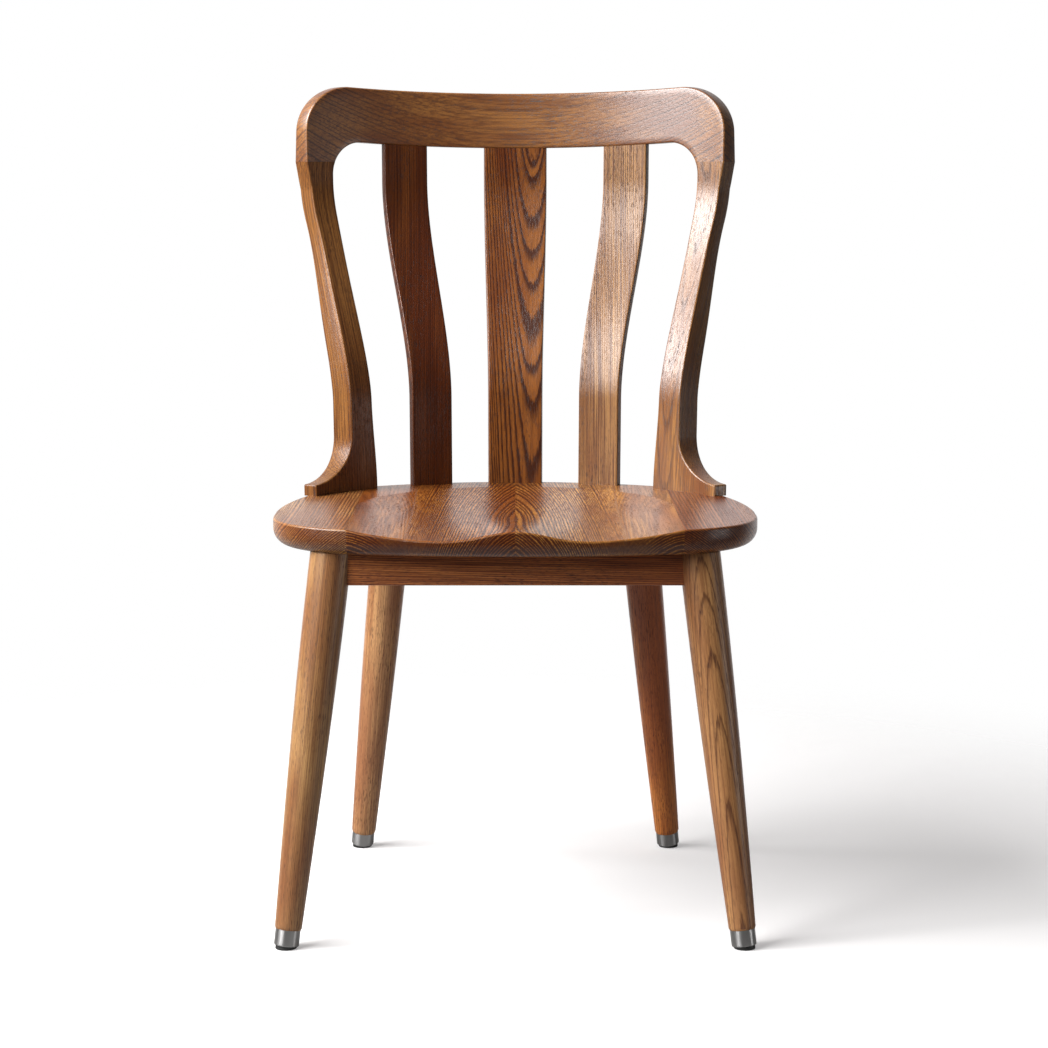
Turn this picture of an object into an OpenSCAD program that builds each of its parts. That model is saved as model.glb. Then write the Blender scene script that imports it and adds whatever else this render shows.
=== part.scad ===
// Solid wood dining chair: a saddled seat glued up from four boards, a three-slat back that
// follows one curved shell, and four round tapered legs with steel ferrules and plastic glides.
// X runs across the chair, Y runs from front to back, Z is up, and the feet stand on Z = 0.
// Back pieces are laid out in cylindrical terms: an angle and a radius about one upright axis.

/* [Seat] */
// Height of the flat part of the seat above the floor
seat_h = 440; // [420:1:470]
// Greatest width of the seat
seat_w = 516; // [506:1:530]
// Thickness of the seat boards
seat_t = 28; // [26:1:32]
// Depth of the seat from its front edge to its rear edge on the centre line
seat_d = 430; // [426:1:436]
// Width of each of the two outer boards where the seat is widest
outer_board_w = 84.5; // [80:0.5:90]
// Greatest depth of the two hollows in the seat
scoop_depth = 12; // [6:0.5:14]
// Reach of the hollows to each side of the centre line
scoop_half_w = 175; // [165:1:180]
// Spread of the centre ridge between the two hollows
ridge_spread = 46; // [36:1:60]
// Depth at which the centre ridge has faded out, from the front edge
ridge_len = 240; // [180:5:300]

/* [Back] */
// Height of the highest points of the crest rail
overall_h = 898.5; // [880:0.5:910]
// Distance from the back's front faces at the seat to the seat's rear edge, on the centre line
back_inset = 13.5; // [12:0.5:16]
// Radius of the back's front faces at the seat
back_r = 260; // [257:1:262]
// How far the back sweeps outward between its lower and upper parts
sweep = 104; // [80:1:115]
// Height of the crest rail's ends, from their joint with the stiles to the highest points
crest_end_h = 86.5; // [80:0.5:92]
// Width of each stile along the curve, where it meets the crest rail
stile_w = 37; // [33:0.5:41]
// Thickness of the stiles above the foot
stile_t = 32; // [28:0.5:34]
// Thickness of the stile's foot and of its top end
stile_foot_t = 17.5; // [14:0.5:18]
// Thickness of the crest rail and of the stile where they meet
crest_t = 24; // [20:0.5:26]
// Thickness of the slats
slat_t = 10.5; // [9:0.5:13]
// Width of the centre slat at the seat
centre_slat_w = 61.3; // [55:0.5:75]
// Width of the side slats at the seat
side_slat_w = 48; // [40:0.5:55]

/* [Legs] */
// Distance of the front feet in from the seat's widest point
front_foot_in = 18.6; // [16:0.2:30]
// Distance of the front feet behind the seat's front edge
front_foot_y = 12; // [8:1:20]
// Distance of the rear feet in from the seat's widest point
rear_foot_in = 74.8; // [68:0.2:83]
// Distance of the rear feet behind the seat's rear edge
rear_foot_out = 7; // [0:1:15]
// Diameter of the legs at the seat
leg_top_d = 43.5; // [40:0.5:46]
// Diameter of the legs just above the ferrules
leg_end_d = 28.2; // [26.8:0.2:30]
// Outer diameter of the ferrules
ferrule_d = 26.3; // [25.5:0.1:26.6]
// Length of the front ferrules
front_ferrule_h = 17.5; // [14:0.5:22]
// Length of the rear ferrules
rear_ferrule_h = 15.5; // [12:0.5:20]
// Diameter of the glides
glide_d = 22.5; // [20:0.5:23]

/* [Frame] */
// Height of the rails under the seat
apron_h = 35; // [30:1:42]
// Thickness of the rails under the seat
apron_t = 20; // [18:1:22]
// Height of the corner blocks
block_h = 26; // [20:1:28]

/* [Hidden] */
$fn = 48;
fit = 0.15;                 // clearance all round a tenon, dowel or screw in its hole

// ---- colours
wood = "#8a5a38";
wood_dark = "#7a4a2c";
steel = "#b9b8b4";
plastic = "#1c1b1b";

// ---- the frame of the whole chair: the front edge's place in Y
seat_half = seat_w / 2;
mid_board_w = seat_half - outer_board_w;
joint_h = overall_h - crest_end_h;             // height of the joint between stiles and crest rail
back_h = overall_h - seat_h;
axis_from_front = seat_d - back_inset - back_r;
shell_lean = 0.02;                             // the slight lean of the shell's straight stretches
crest_r = back_r + sweep + shell_lean * back_h; // front radius of the back at its top
depth_front = -1.6;                            // the front ferrules stand just proud of the seat edge
depth_back = axis_from_front + crest_r + crest_t;
front_y = -(depth_front + depth_back) / 2;
axis_y = front_y + axis_from_front;

// ---- small helpers
function ease(t) = let (c = min(1, max(0, t))) c * c * (3 - 2 * c);
function mix(a, b, t) = a + (b - a) * t;
function on_circle(a, r, z) = [r * sin(a), axis_y + r * cos(a), z];
function bulge(t) = 1 - sqrt(max(0, 1 - t * t));

// A closed solid between stacked layers. Each layer is the same grid of points; the first
// layer is one face, the last layer is the other, and the borders of all layers are walls.
module layered(layers) {
    rows = len(layers[0]);
    cols = len(layers[0][0]);
    last = len(layers) - 1;
    grid = rows * cols;
    border = concat(
        [for (j = [0:cols - 1]) j],
        [for (i = [1:rows - 1]) i * cols + cols - 1],
        [for (j = [cols - 2:-1:0]) (rows - 1) * cols + j],
        [for (i = [rows - 2:-1:1]) i * cols]
    );
    round_count = len(border);
    points = [for (layer = layers) for (row = layer) for (p = row) p];
    first_face = [for (i = [0:rows - 2]) for (j = [0:cols - 2]) each [
        [i * cols + j, i * cols + j + 1, (i + 1) * cols + j + 1],
        [i * cols + j, (i + 1) * cols + j + 1, (i + 1) * cols + j]]];
    last_face = [for (f = first_face) [for (k = [2:-1:0]) f[k] + last * grid]];
    walls = [for (k = [0:last - 1]) for (b = [0:round_count - 1]) let (
            p = border[b] + k * grid,
            q = border[(b + 1) % round_count] + k * grid
        ) each [[q, p, p + grid], [q, p + grid, q + grid]]];
    polyhedron(points, concat(first_face, last_face, walls), convexity = 6);
}

// ---- seat outline: four tangent arcs, moved inward by d
front_arc_r = 857;
corner_arc_r = 110;
side_arc_r = 480;
rear_arc_r = 335;
rear_corner_r = 110;
side_mid_y = 150;                               // where the seat is widest, from its front edge
side_centre = [seat_half - side_arc_r, side_mid_y];

// The meeting point, on the +X side, of a circle about [0, cy] and one about c2
function meet(cy, r1, c2, r2, up) = let (
        d = sqrt(c2[0] * c2[0] + (c2[1] - cy) * (c2[1] - cy)),
        a = (r1 * r1 - r2 * r2 + d * d) / (2 * d),
        h = sqrt(r1 * r1 - a * a),
        ux = c2[0] / d,
        uy = (c2[1] - cy) / d
    ) [a * ux - up * h * uy, cy + a * uy + up * h * ux];

rear_cy = seat_d - rear_arc_r;
front_corner = meet(front_arc_r, front_arc_r - corner_arc_r, side_centre,
    side_arc_r - corner_arc_r, 1);
rear_corner = meet(rear_cy, rear_arc_r - rear_corner_r, side_centre,
    side_arc_r - rear_corner_r, -1);

function front_edge(x, d) = let (
        arc_end = front_corner[0] * (front_arc_r - d) / (front_arc_r - corner_arc_r),
        corner_end = side_centre[0]
            + (front_corner[0] - side_centre[0]) * (side_arc_r - d) / (side_arc_r - corner_arc_r)
    )
    x < arc_end ? front_arc_r - sqrt(pow(front_arc_r - d, 2) - x * x)
    : x < corner_end ? front_corner[1] - sqrt(pow(corner_arc_r - d, 2) - pow(x - front_corner[0], 2))
    : side_mid_y - sqrt(max(0, pow(side_arc_r - d, 2) - pow(x - side_centre[0], 2)));

function rear_edge(x, d) = let (
        arc_end = rear_corner[0] * (rear_arc_r - d) / (rear_arc_r - rear_corner_r),
        corner_end = side_centre[0]
            + (rear_corner[0] - side_centre[0]) * (side_arc_r - d) / (side_arc_r - rear_corner_r)
    )
    x < arc_end ? rear_cy + sqrt(pow(rear_arc_r - d, 2) - x * x)
    : x < corner_end ? rear_corner[1] + sqrt(pow(rear_corner_r - d, 2) - pow(x - rear_corner[0], 2))
    : side_mid_y + sqrt(max(0, pow(side_arc_r - d, 2) - pow(x - side_centre[0], 2)));

// ---- seat surface: one dish with a crisp rear rim, and a centre ridge that fades to the rear
scoop_rear_r = 185;
scoop_mid_y = 197;
function scoop(x, y) = let (
        back = max(0, y - scoop_mid_y) / scoop_rear_r,
        reach = sqrt(pow(x / scoop_half_w, 2) + back * back),
        dish = scoop_depth * max(0, 1 - pow(reach, 3)),
        ridge = exp(-pow(x / ridge_spread, 2)) * (1 - ease(y / ridge_len))
    ) dish * (1 - ridge);

seat_under = seat_h - seat_t;
edge_in = 16.5;                                 // how far the rounded lower edge runs in
edge_up = 17;                                   // and how far it reaches up
tip_flat = 0.3;                                 // the outermost point of each side is a hair flat

// One seat board between x0 and x1; an outer board closes on the outline at its far side
module seat_board_blank(x0, outer) {
    rows = outer ? 12 : 14;
    cols = 24;
    function board_x(i, d) = outer
        ? x0 + (seat_half - d - tip_flat - x0) * sin(90 * i / rows)
        : x0 + mid_board_w * i / rows;
    function board_layer(d, z) = [for (i = [0:rows]) let (
            x = board_x(i, d),
            ya = front_edge(x, d),
            yb = rear_edge(x, d)
        ) [for (j = [0:cols]) let (y = mix(ya, yb, j / cols))
            [x, front_y + y, z < 0 ? seat_h - scoop(x, y) : z]]];
    rounding = [for (a = [0:30:90])
        board_layer(edge_in * (1 - cos(a)), seat_under + edge_up * (1 - sin(a)))];
    layered(concat([board_layer(0, -1)], rounding));
}

// ---- the curved shell of the back
sweep_low = 0.2181;                             // where the outward sweep begins, as a share of the back
sweep_high = 0.7634;                            // and where it ends
function back_share(z) = (z - seat_h) / back_h;
function shell_r(z) = back_r + shell_lean * (z - seat_h)
    + sweep * ease((back_share(z) - sweep_low) / (sweep_high - sweep_low));

// ---- crest rail outline, as an angle and a height
crest_h = 64.3;                                 // height of the crest rail at the centre
crest_rise = 6.8;                               // both edges rise this much toward the ends
crest_top = overall_h - crest_rise;             // top edge at the centre
crest_low = crest_top - crest_h;                // lower edge at the centre
crest_end_a = 40.5;                             // outer edge of the downturned ends
corner_out_a = 31.5;                            // where the outer corner begins
corner_out_h = 52;
corner_out_z = overall_h - corner_out_h;
// The inner edge of the stile near its top
stile_in_top_a = crest_end_a - stile_w / shell_r(joint_h) * 180 / PI;
corner_in_a = 29.2;                             // where the inner corner meets the lower edge
corner_in_below = 15;                           // the inner corner begins this far under the joint
corner_in_z = joint_h - corner_in_below;
corner_in_h = crest_low + crest_rise - corner_in_z;
crest_top_t = 18;
function crest_thick(z) = mix(crest_t, crest_top_t, (z - joint_h) / (overall_h - joint_h));
function crest_under(a) = crest_low + crest_rise * pow(a / corner_in_a, 2);

// u runs from 0 at the centre to 1 at the joint
level_part = 0.6;
arc_part = 0.77;
function crest_outer(u) = let (w = (u - level_part) / (1 - level_part))
    u <= level_part ? let (a = corner_out_a * u / level_part)
        [a, crest_top + crest_rise * pow(a / corner_out_a, 2)]
    : w < arc_part ? let (f = 90 * (1 - w / arc_part))
        [mix(corner_out_a, crest_end_a, cos(f)), mix(corner_out_z, overall_h, sin(f))]
    : [crest_end_a, mix(corner_out_z, joint_h, (w - arc_part) / (1 - arc_part))];

corner_in_stop = asin((joint_h - corner_in_z) / corner_in_h);
function crest_inner(u) = let (w = (u - level_part) / (1 - level_part))
    u <= level_part ? let (a = corner_in_a * u / level_part) [a, crest_under(a)]
    : let (f = mix(90, corner_in_stop, w))
        [mix(corner_in_a, stile_in_top_a, cos(f)), corner_in_z + corner_in_h * sin(f)];

module crest_blank() {
    half_cols = 20;
    rows = 4;
    function crest_layer(back) = [for (i = [0:rows]) [for (j = [-half_cols:half_cols]) let (
            u = abs(j) / half_cols,
            o = crest_outer(u),
            n = crest_inner(u),
            a = mix(o[0], n[0], i / rows) * sign(j),
            z = mix(o[1], n[1], i / rows)
        ) on_circle(a, shell_r(z) + back * crest_thick(z), z)]];
    layered([crest_layer(0), crest_layer(1)]);
}

// ---- stiles: an even band that swells inward low down and flares to a foot on the seat
// The foot's places along X are measured in from the seat's widest point
function foot_angle(inset, r) = asin((seat_half - inset) / r);
toe_h = 12.8;                                   // height of the foot's upright end
foot_h = 62;                                    // height of the whole foot with its flare
flare_top = seat_h + foot_h;
flare_h = foot_h - toe_h;
toe_inset = 34.9;
waist_out_inset = 72.9;
waist_in_inset = 95.8;
foot_in_inset = 100.4;
toe_a = foot_angle(toe_inset, back_r);          // outer end of the foot
waist_out_a = foot_angle(waist_out_inset, back_r); // outer edge above the flare
stile_waist_in_a = foot_angle(waist_in_inset, back_r);
stile_foot_in_a = foot_angle(foot_in_inset, back_r);
neck_out_a = 39.6;                              // outer edge at its narrowest, below the crest
neck_below = 32;
neck_h = joint_h - neck_below;
// The stretches over which the edges and the thickness change, as shares of the back's height
out_bend = [0.24, 0.6543];
in_swell = [0, 0.24];
in_bend = [0.2617, 0.6761];
thinning = [0.349, 0.6543];
function bend(z, stretch) = ease((back_share(z) - stretch[0]) / (stretch[1] - stretch[0]));
function stile_outer(z) =
    z <= seat_h + toe_h ? toe_a
    : z < flare_top ? waist_out_a + (toe_a - waist_out_a) * bulge((flare_top - z) / flare_h)
    : z < neck_h ? mix(waist_out_a, neck_out_a, bend(z, out_bend))
    : mix(neck_out_a, crest_end_a, ease((z - neck_h) / (joint_h - neck_h)));
function stile_inner(z) = let (
        low = mix(stile_foot_in_a, stile_waist_in_a, bend(z, in_swell)),
        high = mix(stile_waist_in_a, stile_in_top_a, bend(z, in_bend)),
        edge = back_share(z) < in_bend[0] ? low : high
    ) z < corner_in_z ? edge
    : mix(corner_in_a, stile_in_top_a, sqrt(1 - pow((z - corner_in_z) / corner_in_h, 2)));
function stile_thick(z) =
    z < flare_top ? mix(stile_foot_t, stile_t, sin(90 * max(0, z - seat_h - toe_h) / flare_h))
    : mix(stile_t, crest_t, bend(z, thinning));

module stile_blank() {
    flare_steps = 8;
    upper_steps = 20;
    rows = 4;
    levels = concat(
        [seat_h],
        [for (k = [flare_steps:-1:1]) flare_top - flare_h * sin(90 * k / flare_steps)],
        [for (k = [0:upper_steps]) mix(flare_top, joint_h, k / upper_steps)]
    );
    function stile_layer(back) = [for (i = [0:rows]) [for (z = levels)
        on_circle(mix(stile_inner(z), stile_outer(z), i / rows),
            shell_r(z) + back * stile_thick(z), z)]];
    layered([stile_layer(0), stile_layer(1)]);
}

// ---- slats: they widen a little upward and are tenoned into the seat and the crest rail
tenon_t = 6.5;
tenon_l = 14;
tenon_shoulder = 6;
tenon_in = 0.5;                                 // flat in a curved slat, it lies this much forward
tenon_root = 4;                                 // how far it reaches back into the slat
end_room = 0.5;                                 // left free at the end of a tenon or dowel
side_slat_in_a = 16.3;
centre_growth = 0.5;                            // how strongly the width follows the radius
side_growth = 0.27;

function slat_span(z, centre) = let (
        grow = shell_r(z) / back_r,
        w = centre ? centre_slat_w * pow(grow, centre_growth) : side_slat_w * pow(grow, side_growth),
        a = w / shell_r(z) * 180 / PI
    ) centre ? [-a / 2, a / 2] : [side_slat_in_a, side_slat_in_a + a];

// A flat tongue on the slat's middle line, reaching past the shoulder at height z by reach
module slat_tongue(centre, z, reach, grow) {
    span = slat_span(z, centre);
    middle = (span[0] + span[1]) / 2;
    w = (span[1] - span[0]) * PI / 180 * shell_r(z) - 2 * tenon_shoulder;
    low = reach > 0 ? z - tenon_root : z + reach;
    high = reach > 0 ? z + reach : z + tenon_root;
    translate([0, axis_y, 0])
        rotate([0, 0, -middle])
            translate([-w / 2 - grow, shell_r(z) + (slat_t - tenon_t) / 2 - tenon_in - grow, low - grow])
                cube([w + 2 * grow, tenon_t + 2 * grow, high - low + 2 * grow]);
}

function slat_top(centre) = let (span = slat_span(crest_low, centre))
    crest_under((span[0] + span[1]) / 2);

module slat(centre) {
    rows = centre ? 6 : 4;
    cols = 26;
    function slat_layer(back) = [for (i = [0:rows]) [for (j = [0:cols]) let (
            flat_z = mix(seat_h, crest_low, j / cols),
            span = slat_span(flat_z, centre),
            a = mix(span[0], span[1], i / rows),
            z = mix(seat_h, crest_under(a), j / cols)
        ) on_circle(a, shell_r(z) + back * slat_t, z)]];
    layered([slat_layer(0), slat_layer(1)]);
    slat_tongue(centre, seat_h, -tenon_l, 0);
    slat_tongue(centre, slat_top(centre), tenon_l, 0);
}

// All the pockets that the slats' tongues need; z is the shoulder and reach the depth
module slat_pockets(z_centre, z_side, reach) {
    slat_tongue(true, z_centre, reach, fit);
    for (side = [0, 1])
        mirror([side, 0, 0])
            slat_tongue(false, z_side, reach, fit);
}

// ---- dowels between the crest rail and the stiles
crest_dowel_d = 8;
crest_dowel_l = 36;
crest_dowel_share = [0.21, 0.685];              // places across the joint, from its inner edge
module crest_dowel_set(extra_d, extra_l) {
    for (side = [-1, 1])
        for (share = crest_dowel_share)
            translate(on_circle(
                side * mix(stile_in_top_a, crest_end_a, share), shell_r(joint_h) + crest_t / 2, joint_h))
                cylinder(d = crest_dowel_d + extra_d, h = crest_dowel_l + extra_l, center = true);
}

// ---- screws: a shank with a countersunk head, pointing up from the head
module screw(d, length, grow) {
    head_d = 2 * d;
    head_h = d / 2;
    cylinder(d = d + 2 * grow, h = length + grow);
    cylinder(d1 = head_d + 2 * grow, d2 = d + 2 * grow, h = head_h);
}

// A screw's hole with the way in for its head, turned as one shape; open is the way in's length
module screw_hole(d, length, open) {
    head_r = d + fit;
    shank_r = d / 2 + fit;
    rotate_extrude()
        polygon([
            [0, -open], [head_r, -open], [head_r, 0], [shank_r, d / 2],
            [shank_r, length + fit], [0, length + fit]
        ]);
}

stile_screw_d = 5;
stile_screw_l = 44;
stile_screw_inset = [73.2, 46.4];               // in from the seat's widest point
stile_screw_r = back_r + stile_foot_t / 2;
head_sunk = 1;                                  // the heads lie this deep in the underside
stile_screw_z = seat_under + head_sunk;
module at_stile_screws() {
    for (side = [-1, 1])
        for (inset = stile_screw_inset)
            translate(on_circle(side * foot_angle(inset, stile_screw_r), stile_screw_r, stile_screw_z))
                children();
}
module stile_screw_set(grow) {
    at_stile_screws()
        screw(stile_screw_d, stile_screw_l, grow);
}

// ---- legs: the line of each leg from its foot on the floor to the seat's underside
front_splay = [47.8, 48];                       // how far a foot stands out from the leg's top end
rear_splay = [42.6, 72];
front_foot_x = seat_half - front_foot_in;
rear_foot_x = seat_half - rear_foot_in;
rear_foot_y = seat_d + rear_foot_out;
front_top_x = front_foot_x - front_splay[0];
front_top_y = front_foot_y + front_splay[1];
rear_top_x = rear_foot_x - rear_splay[0];
rear_top_y = rear_foot_y - rear_splay[1];
front_glide_h = 2.6;
rear_glide_h = 4.2;
front_fill = 0.95;                              // share of the leg's length that carries its swell
rear_fill = 1.1;

function foot_of(rear) = rear ? [rear_foot_x, front_y + rear_foot_y, 0]
    : [front_foot_x, front_y + front_foot_y, 0];
function head_of(rear) = rear ? [rear_top_x, front_y + rear_top_y, seat_under]
    : [front_top_x, front_y + front_top_y, seat_under];
function leg_at(rear, z) = mix(foot_of(rear), head_of(rear), z / seat_under);
function glide_of(rear) = rear ? rear_glide_h : front_glide_h;
function ferrule_of(rear) = rear ? rear_ferrule_h : front_ferrule_h;

// Places its children, built up from the origin, on the line of a leg. The turn about the
// leg's own line keeps a lathe seam away from the lowest point of a level cut.
seam_turn = 37;
module on_leg(rear) {
    run = head_of(rear) - foot_of(rear);
    translate(foot_of(rear))
        rotate([0, acos(run[2] / norm(run)), atan2(run[1], run[0])])
            rotate([0, 0, seam_turn])
                children();
}

ferrule_wall = 1.1;
ferrule_floor = 1.2;
rim_r = 1.6;                                    // rounding of the ferrule's lower rim
spigot_r = ferrule_d / 2 - ferrule_wall;
nail_d = 4;
nail_l = 30;
nail_head_d = 9;
nail_head_h = 0.8;
nail_start = 1.1;                               // the nail's head above the floor, in the glide
past_seat = 20;                                 // how far the turned leg runs on before it is cut

module leg_turning(rear, grow) {
    base = glide_of(rear) + ferrule_floor;
    top_of_ferrule = glide_of(rear) + ferrule_of(rear);
    full = norm(head_of(rear) - foot_of(rear));
    fill = rear ? rear_fill : front_fill;
    swell = (leg_top_d - leg_end_d) / 2;
    steps = 10;
    side = [for (k = [0:steps]) let (s = k / steps)
        [leg_end_d / 2 + grow + swell * sin(90 * min(1, s / fill)) / sin(90 * min(1, 1 / fill)),
            mix(top_of_ferrule, full, s)]];
    top_r = side[steps][0];
    rotate_extrude()
        polygon(concat(
            [[0, base], [spigot_r, base], [spigot_r, top_of_ferrule]],
            side,
            [[top_r, full + past_seat], [0, full + past_seat]]
        ));
}

// The room that a leg takes out of a rail
module leg_socket(rear) {
    on_leg(rear)
        leg_turning(rear, fit);
}

module leg(rear) {
    intersection() {
        on_leg(rear)
            leg_turning(rear, 0);
        translate([0, front_y - seat_w, -past_seat])
            cube([seat_w, 2 * seat_w, seat_under + past_seat]);
    }
}

module leg_bored(rear) {
    difference() {
        leg(rear);
        apron_dowel_set(2 * fit, 2 * fit);
        on_leg(rear)
            cylinder(d = nail_d + 2 * fit, h = nail_start + nail_head_h + nail_l);
    }
}

module ferrule(rear) {
    z0 = glide_of(rear);
    r = ferrule_d / 2;
    rim = [for (a = [0:22.5:90]) [r - rim_r * (1 - sin(a)), z0 + rim_r * (1 - cos(a))]];
    hole_r = nail_d / 2 + fit;
    on_leg(rear)
        rotate_extrude()
            polygon(concat(
                [[hole_r, z0]],
                rim,
                [[r, z0 + ferrule_of(rear)], [spigot_r, z0 + ferrule_of(rear)],
                    [spigot_r, z0 + ferrule_floor], [hole_r, z0 + ferrule_floor]]
            ));
}

module nail(rear, grow) {
    on_leg(rear) {
        translate([0, 0, nail_start - grow])
            cylinder(d = nail_head_d + 2 * grow, h = nail_head_h + 2 * grow);
        translate([0, 0, nail_start])
            cylinder(d = nail_d + 2 * grow, h = nail_l);
    }
}

// The glide is moulded round the nail's head and cut level where it meets the floor
below_floor = 5;
module glide(rear) {
    top = glide_of(rear);
    shank_r = nail_d / 2 + fit;
    head_r = nail_head_d / 2 + fit;
    head_z = nail_start - fit;
    head_end = nail_start + nail_head_h + fit;
    difference() {
        on_leg(rear)
            rotate_extrude()
                polygon([
                    [0, -below_floor], [glide_d / 2, -below_floor], [glide_d / 2, top],
                    [shank_r, top], [shank_r, head_end], [head_r, head_end],
                    [head_r, head_z], [0, head_z]
                ]);
        translate([0, front_y - seat_w, -4 * below_floor])
            cube([seat_w, 2 * seat_w, 4 * below_floor]);
    }
}

// ---- rails under the seat, from leg axis to leg axis
apron_z = seat_under - apron_h / 2;
front_node = leg_at(false, apron_z);
rear_node = leg_at(true, apron_z);
side_run = rear_node - front_node;
side_l = norm(side_run);
side_turn = atan2(side_run[1], side_run[0]);

module side_line() {
    translate(front_node)
        rotate([0, 0, side_turn])
            children();
}

module apron_bar(length) {
    translate([0, -apron_t / 2, -apron_h / 2])
        cube([length, apron_t, apron_h]);
}

module cross_apron(rear) {
    node_at = rear ? rear_node : front_node;
    difference() {
        translate([-node_at[0], node_at[1], node_at[2]])
            apron_bar(2 * node_at[0]);
        for (side = [0, 1])
            mirror([side, 0, 0]) {
                leg_socket(rear);
                apron_dowel_set(2 * fit, 2 * fit);
                block_screw_set(fit);
            }
    }
}

module side_apron() {
    difference() {
        side_line()
            apron_bar(side_l);
        leg_socket(false);
        leg_socket(true);
        apron_dowel_set(2 * fit, 2 * fit);
        block_screw_set(fit);
    }
}

apron_dowel_d = 8;
apron_dowel_l = 35;
apron_dowel_start = 6.5;                        // from the leg's axis to the dowel's inner end
apron_dowel_gap = 16;

// Pair of dowels lying along +X from the origin
module dowel_pair(extra_d, extra_l) {
    for (up = [-1, 1])
        translate([apron_dowel_start - extra_l / 2, 0, up * apron_dowel_gap / 2])
            rotate([0, 90, 0])
                cylinder(d = apron_dowel_d + extra_d, h = apron_dowel_l + extra_l);
}

// The dowels of the right-hand half
module apron_dowel_set(extra_d, extra_l) {
    for (p = [front_node, rear_node])
        translate(p)
            rotate([0, 0, 180])
                dowel_pair(extra_d, extra_l);
    side_line() {
        dowel_pair(extra_d, extra_l);
        translate([side_l, 0, 0])
            rotate([0, 0, 180])
                dowel_pair(extra_d, extra_l);
    }
}

// ---- corner blocks: e1 points along the cross rail, e2 along the side rail
function unit(a) = [cos(a), sin(a)];
block_near = 27;
block_far = 62;
block_screw_at = 48;
block_screw_d = 4;
block_screw_l = 27;
seat_screw_l = 38;

function corner_node(rear) = rear ? [rear_node[0], rear_node[1]] : [front_node[0], front_node[1]];
cross_dir = 180;
function side_dir(rear) = rear ? side_turn + 180 : side_turn;
// The inward normal of a rail is its direction turned toward the other rail
function inward(rear, cross) = let (
        turn = rear ? 90 : -90
    ) cross ? unit(cross_dir + turn) : unit(side_dir(rear) - turn);
function block_point(rear, cross, along) = corner_node(rear)
    + inward(rear, cross) * apron_t / 2
    + unit(cross ? cross_dir : side_dir(rear)) * along;

module corner_block(rear) {
    difference() {
        translate([0, 0, seat_under - block_h])
            linear_extrude(block_h)
                polygon([
                    block_point(rear, true, block_near),
                    block_point(rear, true, block_far),
                    block_point(rear, false, block_far),
                    block_point(rear, false, block_near)
                ]);
        block_screw_holes();
        seat_screw_holes();
    }
}

// Horizontal screws through the blocks into the rails; head_back is the head's distance
// from the rail's middle line
head_depth = 12;                                // wood left between a head and the rail
way_in = 15;
head_back = apron_t / 2 + head_depth;
block_screw_drop = 2;                           // the screws lie this much under the block's middle
block_screw_z = seat_under - block_h / 2 - block_screw_drop;
module at_block_screw(rear, cross) {
    base = corner_node(rear) + unit(cross ? cross_dir : side_dir(rear)) * block_screw_at
        + inward(rear, cross) * head_back;
    in = inward(rear, cross);
    translate([base[0], base[1], block_screw_z])
        rotate([0, 0, atan2(-in[1], -in[0])])
            rotate([0, 90, 0])
                children();
}
module block_screw_set(grow) {
    for (rear = [false, true])
        for (cross = [false, true])
            at_block_screw(rear, cross)
                screw(block_screw_d, block_screw_l, grow);
}
module block_screw_holes() {
    for (rear = [false, true])
        for (cross = [false, true])
            at_block_screw(rear, cross)
                screw_hole(block_screw_d, block_screw_l, way_in);
}

// Upright screws through the blocks into the seat
seat_screw_z = seat_under - block_h + head_sunk;
seat_screw_in = 32;
module at_seat_screw(rear) {
    p = corner_node(rear) + seat_screw_in * (unit(cross_dir) + unit(side_dir(rear)));
    translate([p[0], p[1], seat_screw_z])
        children();
}
module seat_screw_set(grow) {
    for (rear = [false, true])
        at_seat_screw(rear)
            screw(block_screw_d, seat_screw_l, grow);
}
module seat_screw_holes() {
    for (rear = [false, true])
        at_seat_screw(rear)
            screw_hole(block_screw_d, seat_screw_l, 2 * head_sunk);
}

// Both halves of something built on the right
module both_sides() {
    children();
    mirror([1, 0, 0])
        children();
}

// ---- the pieces
module seat_holes() {
    slat_pockets(seat_h, seat_h, -tenon_l - end_room);
    at_stile_screws()
        screw_hole(stile_screw_d, stile_screw_l, 2 * head_sunk);
    both_sides()
        seat_screw_set(fit);
}
module seat_board_right() {
    color(wood_dark)
        difference() {
            seat_board_blank(mid_board_w, true);
            seat_holes();
        }
}
module seat_board_left() {
    color(wood_dark)
        difference() {
            mirror([1, 0, 0])
                seat_board_blank(mid_board_w, true);
            seat_holes();
        }
}
module seat_board_mid_right() {
    color(wood)
        difference() {
            seat_board_blank(0, false);
            seat_holes();
        }
}
module seat_board_mid_left() {
    color(wood)
        difference() {
            mirror([1, 0, 0])
                seat_board_blank(0, false);
            seat_holes();
        }
}

module crest_rail() {
    color(wood)
        difference() {
            crest_blank();
            slat_pockets(slat_top(true), slat_top(false), tenon_l + end_room);
            crest_dowel_set(2 * fit, 2 * end_room);
        }
}

module stile() {
    difference() {
        stile_blank();
        crest_dowel_set(2 * fit, 2 * end_room);
        stile_screw_set(fit);
    }
}
module stile_right() color(wood) stile();
module stile_left() color(wood) mirror([1, 0, 0]) stile();

module slat_centre() color(wood) slat(true);
module slat_right() color(wood) slat(false);
module slat_left() color(wood) mirror([1, 0, 0]) slat(false);

module apron_front() color(wood_dark) cross_apron(false);
module apron_rear() color(wood_dark) cross_apron(true);
module apron_right() color(wood_dark) side_apron();
module apron_left() color(wood_dark) mirror([1, 0, 0]) side_apron();

module corner_block_front_right() color(wood_dark) corner_block(false);
module corner_block_front_left() color(wood_dark) mirror([1, 0, 0]) corner_block(false);
module corner_block_rear_right() color(wood_dark) corner_block(true);
module corner_block_rear_left() color(wood_dark) mirror([1, 0, 0]) corner_block(true);

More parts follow.
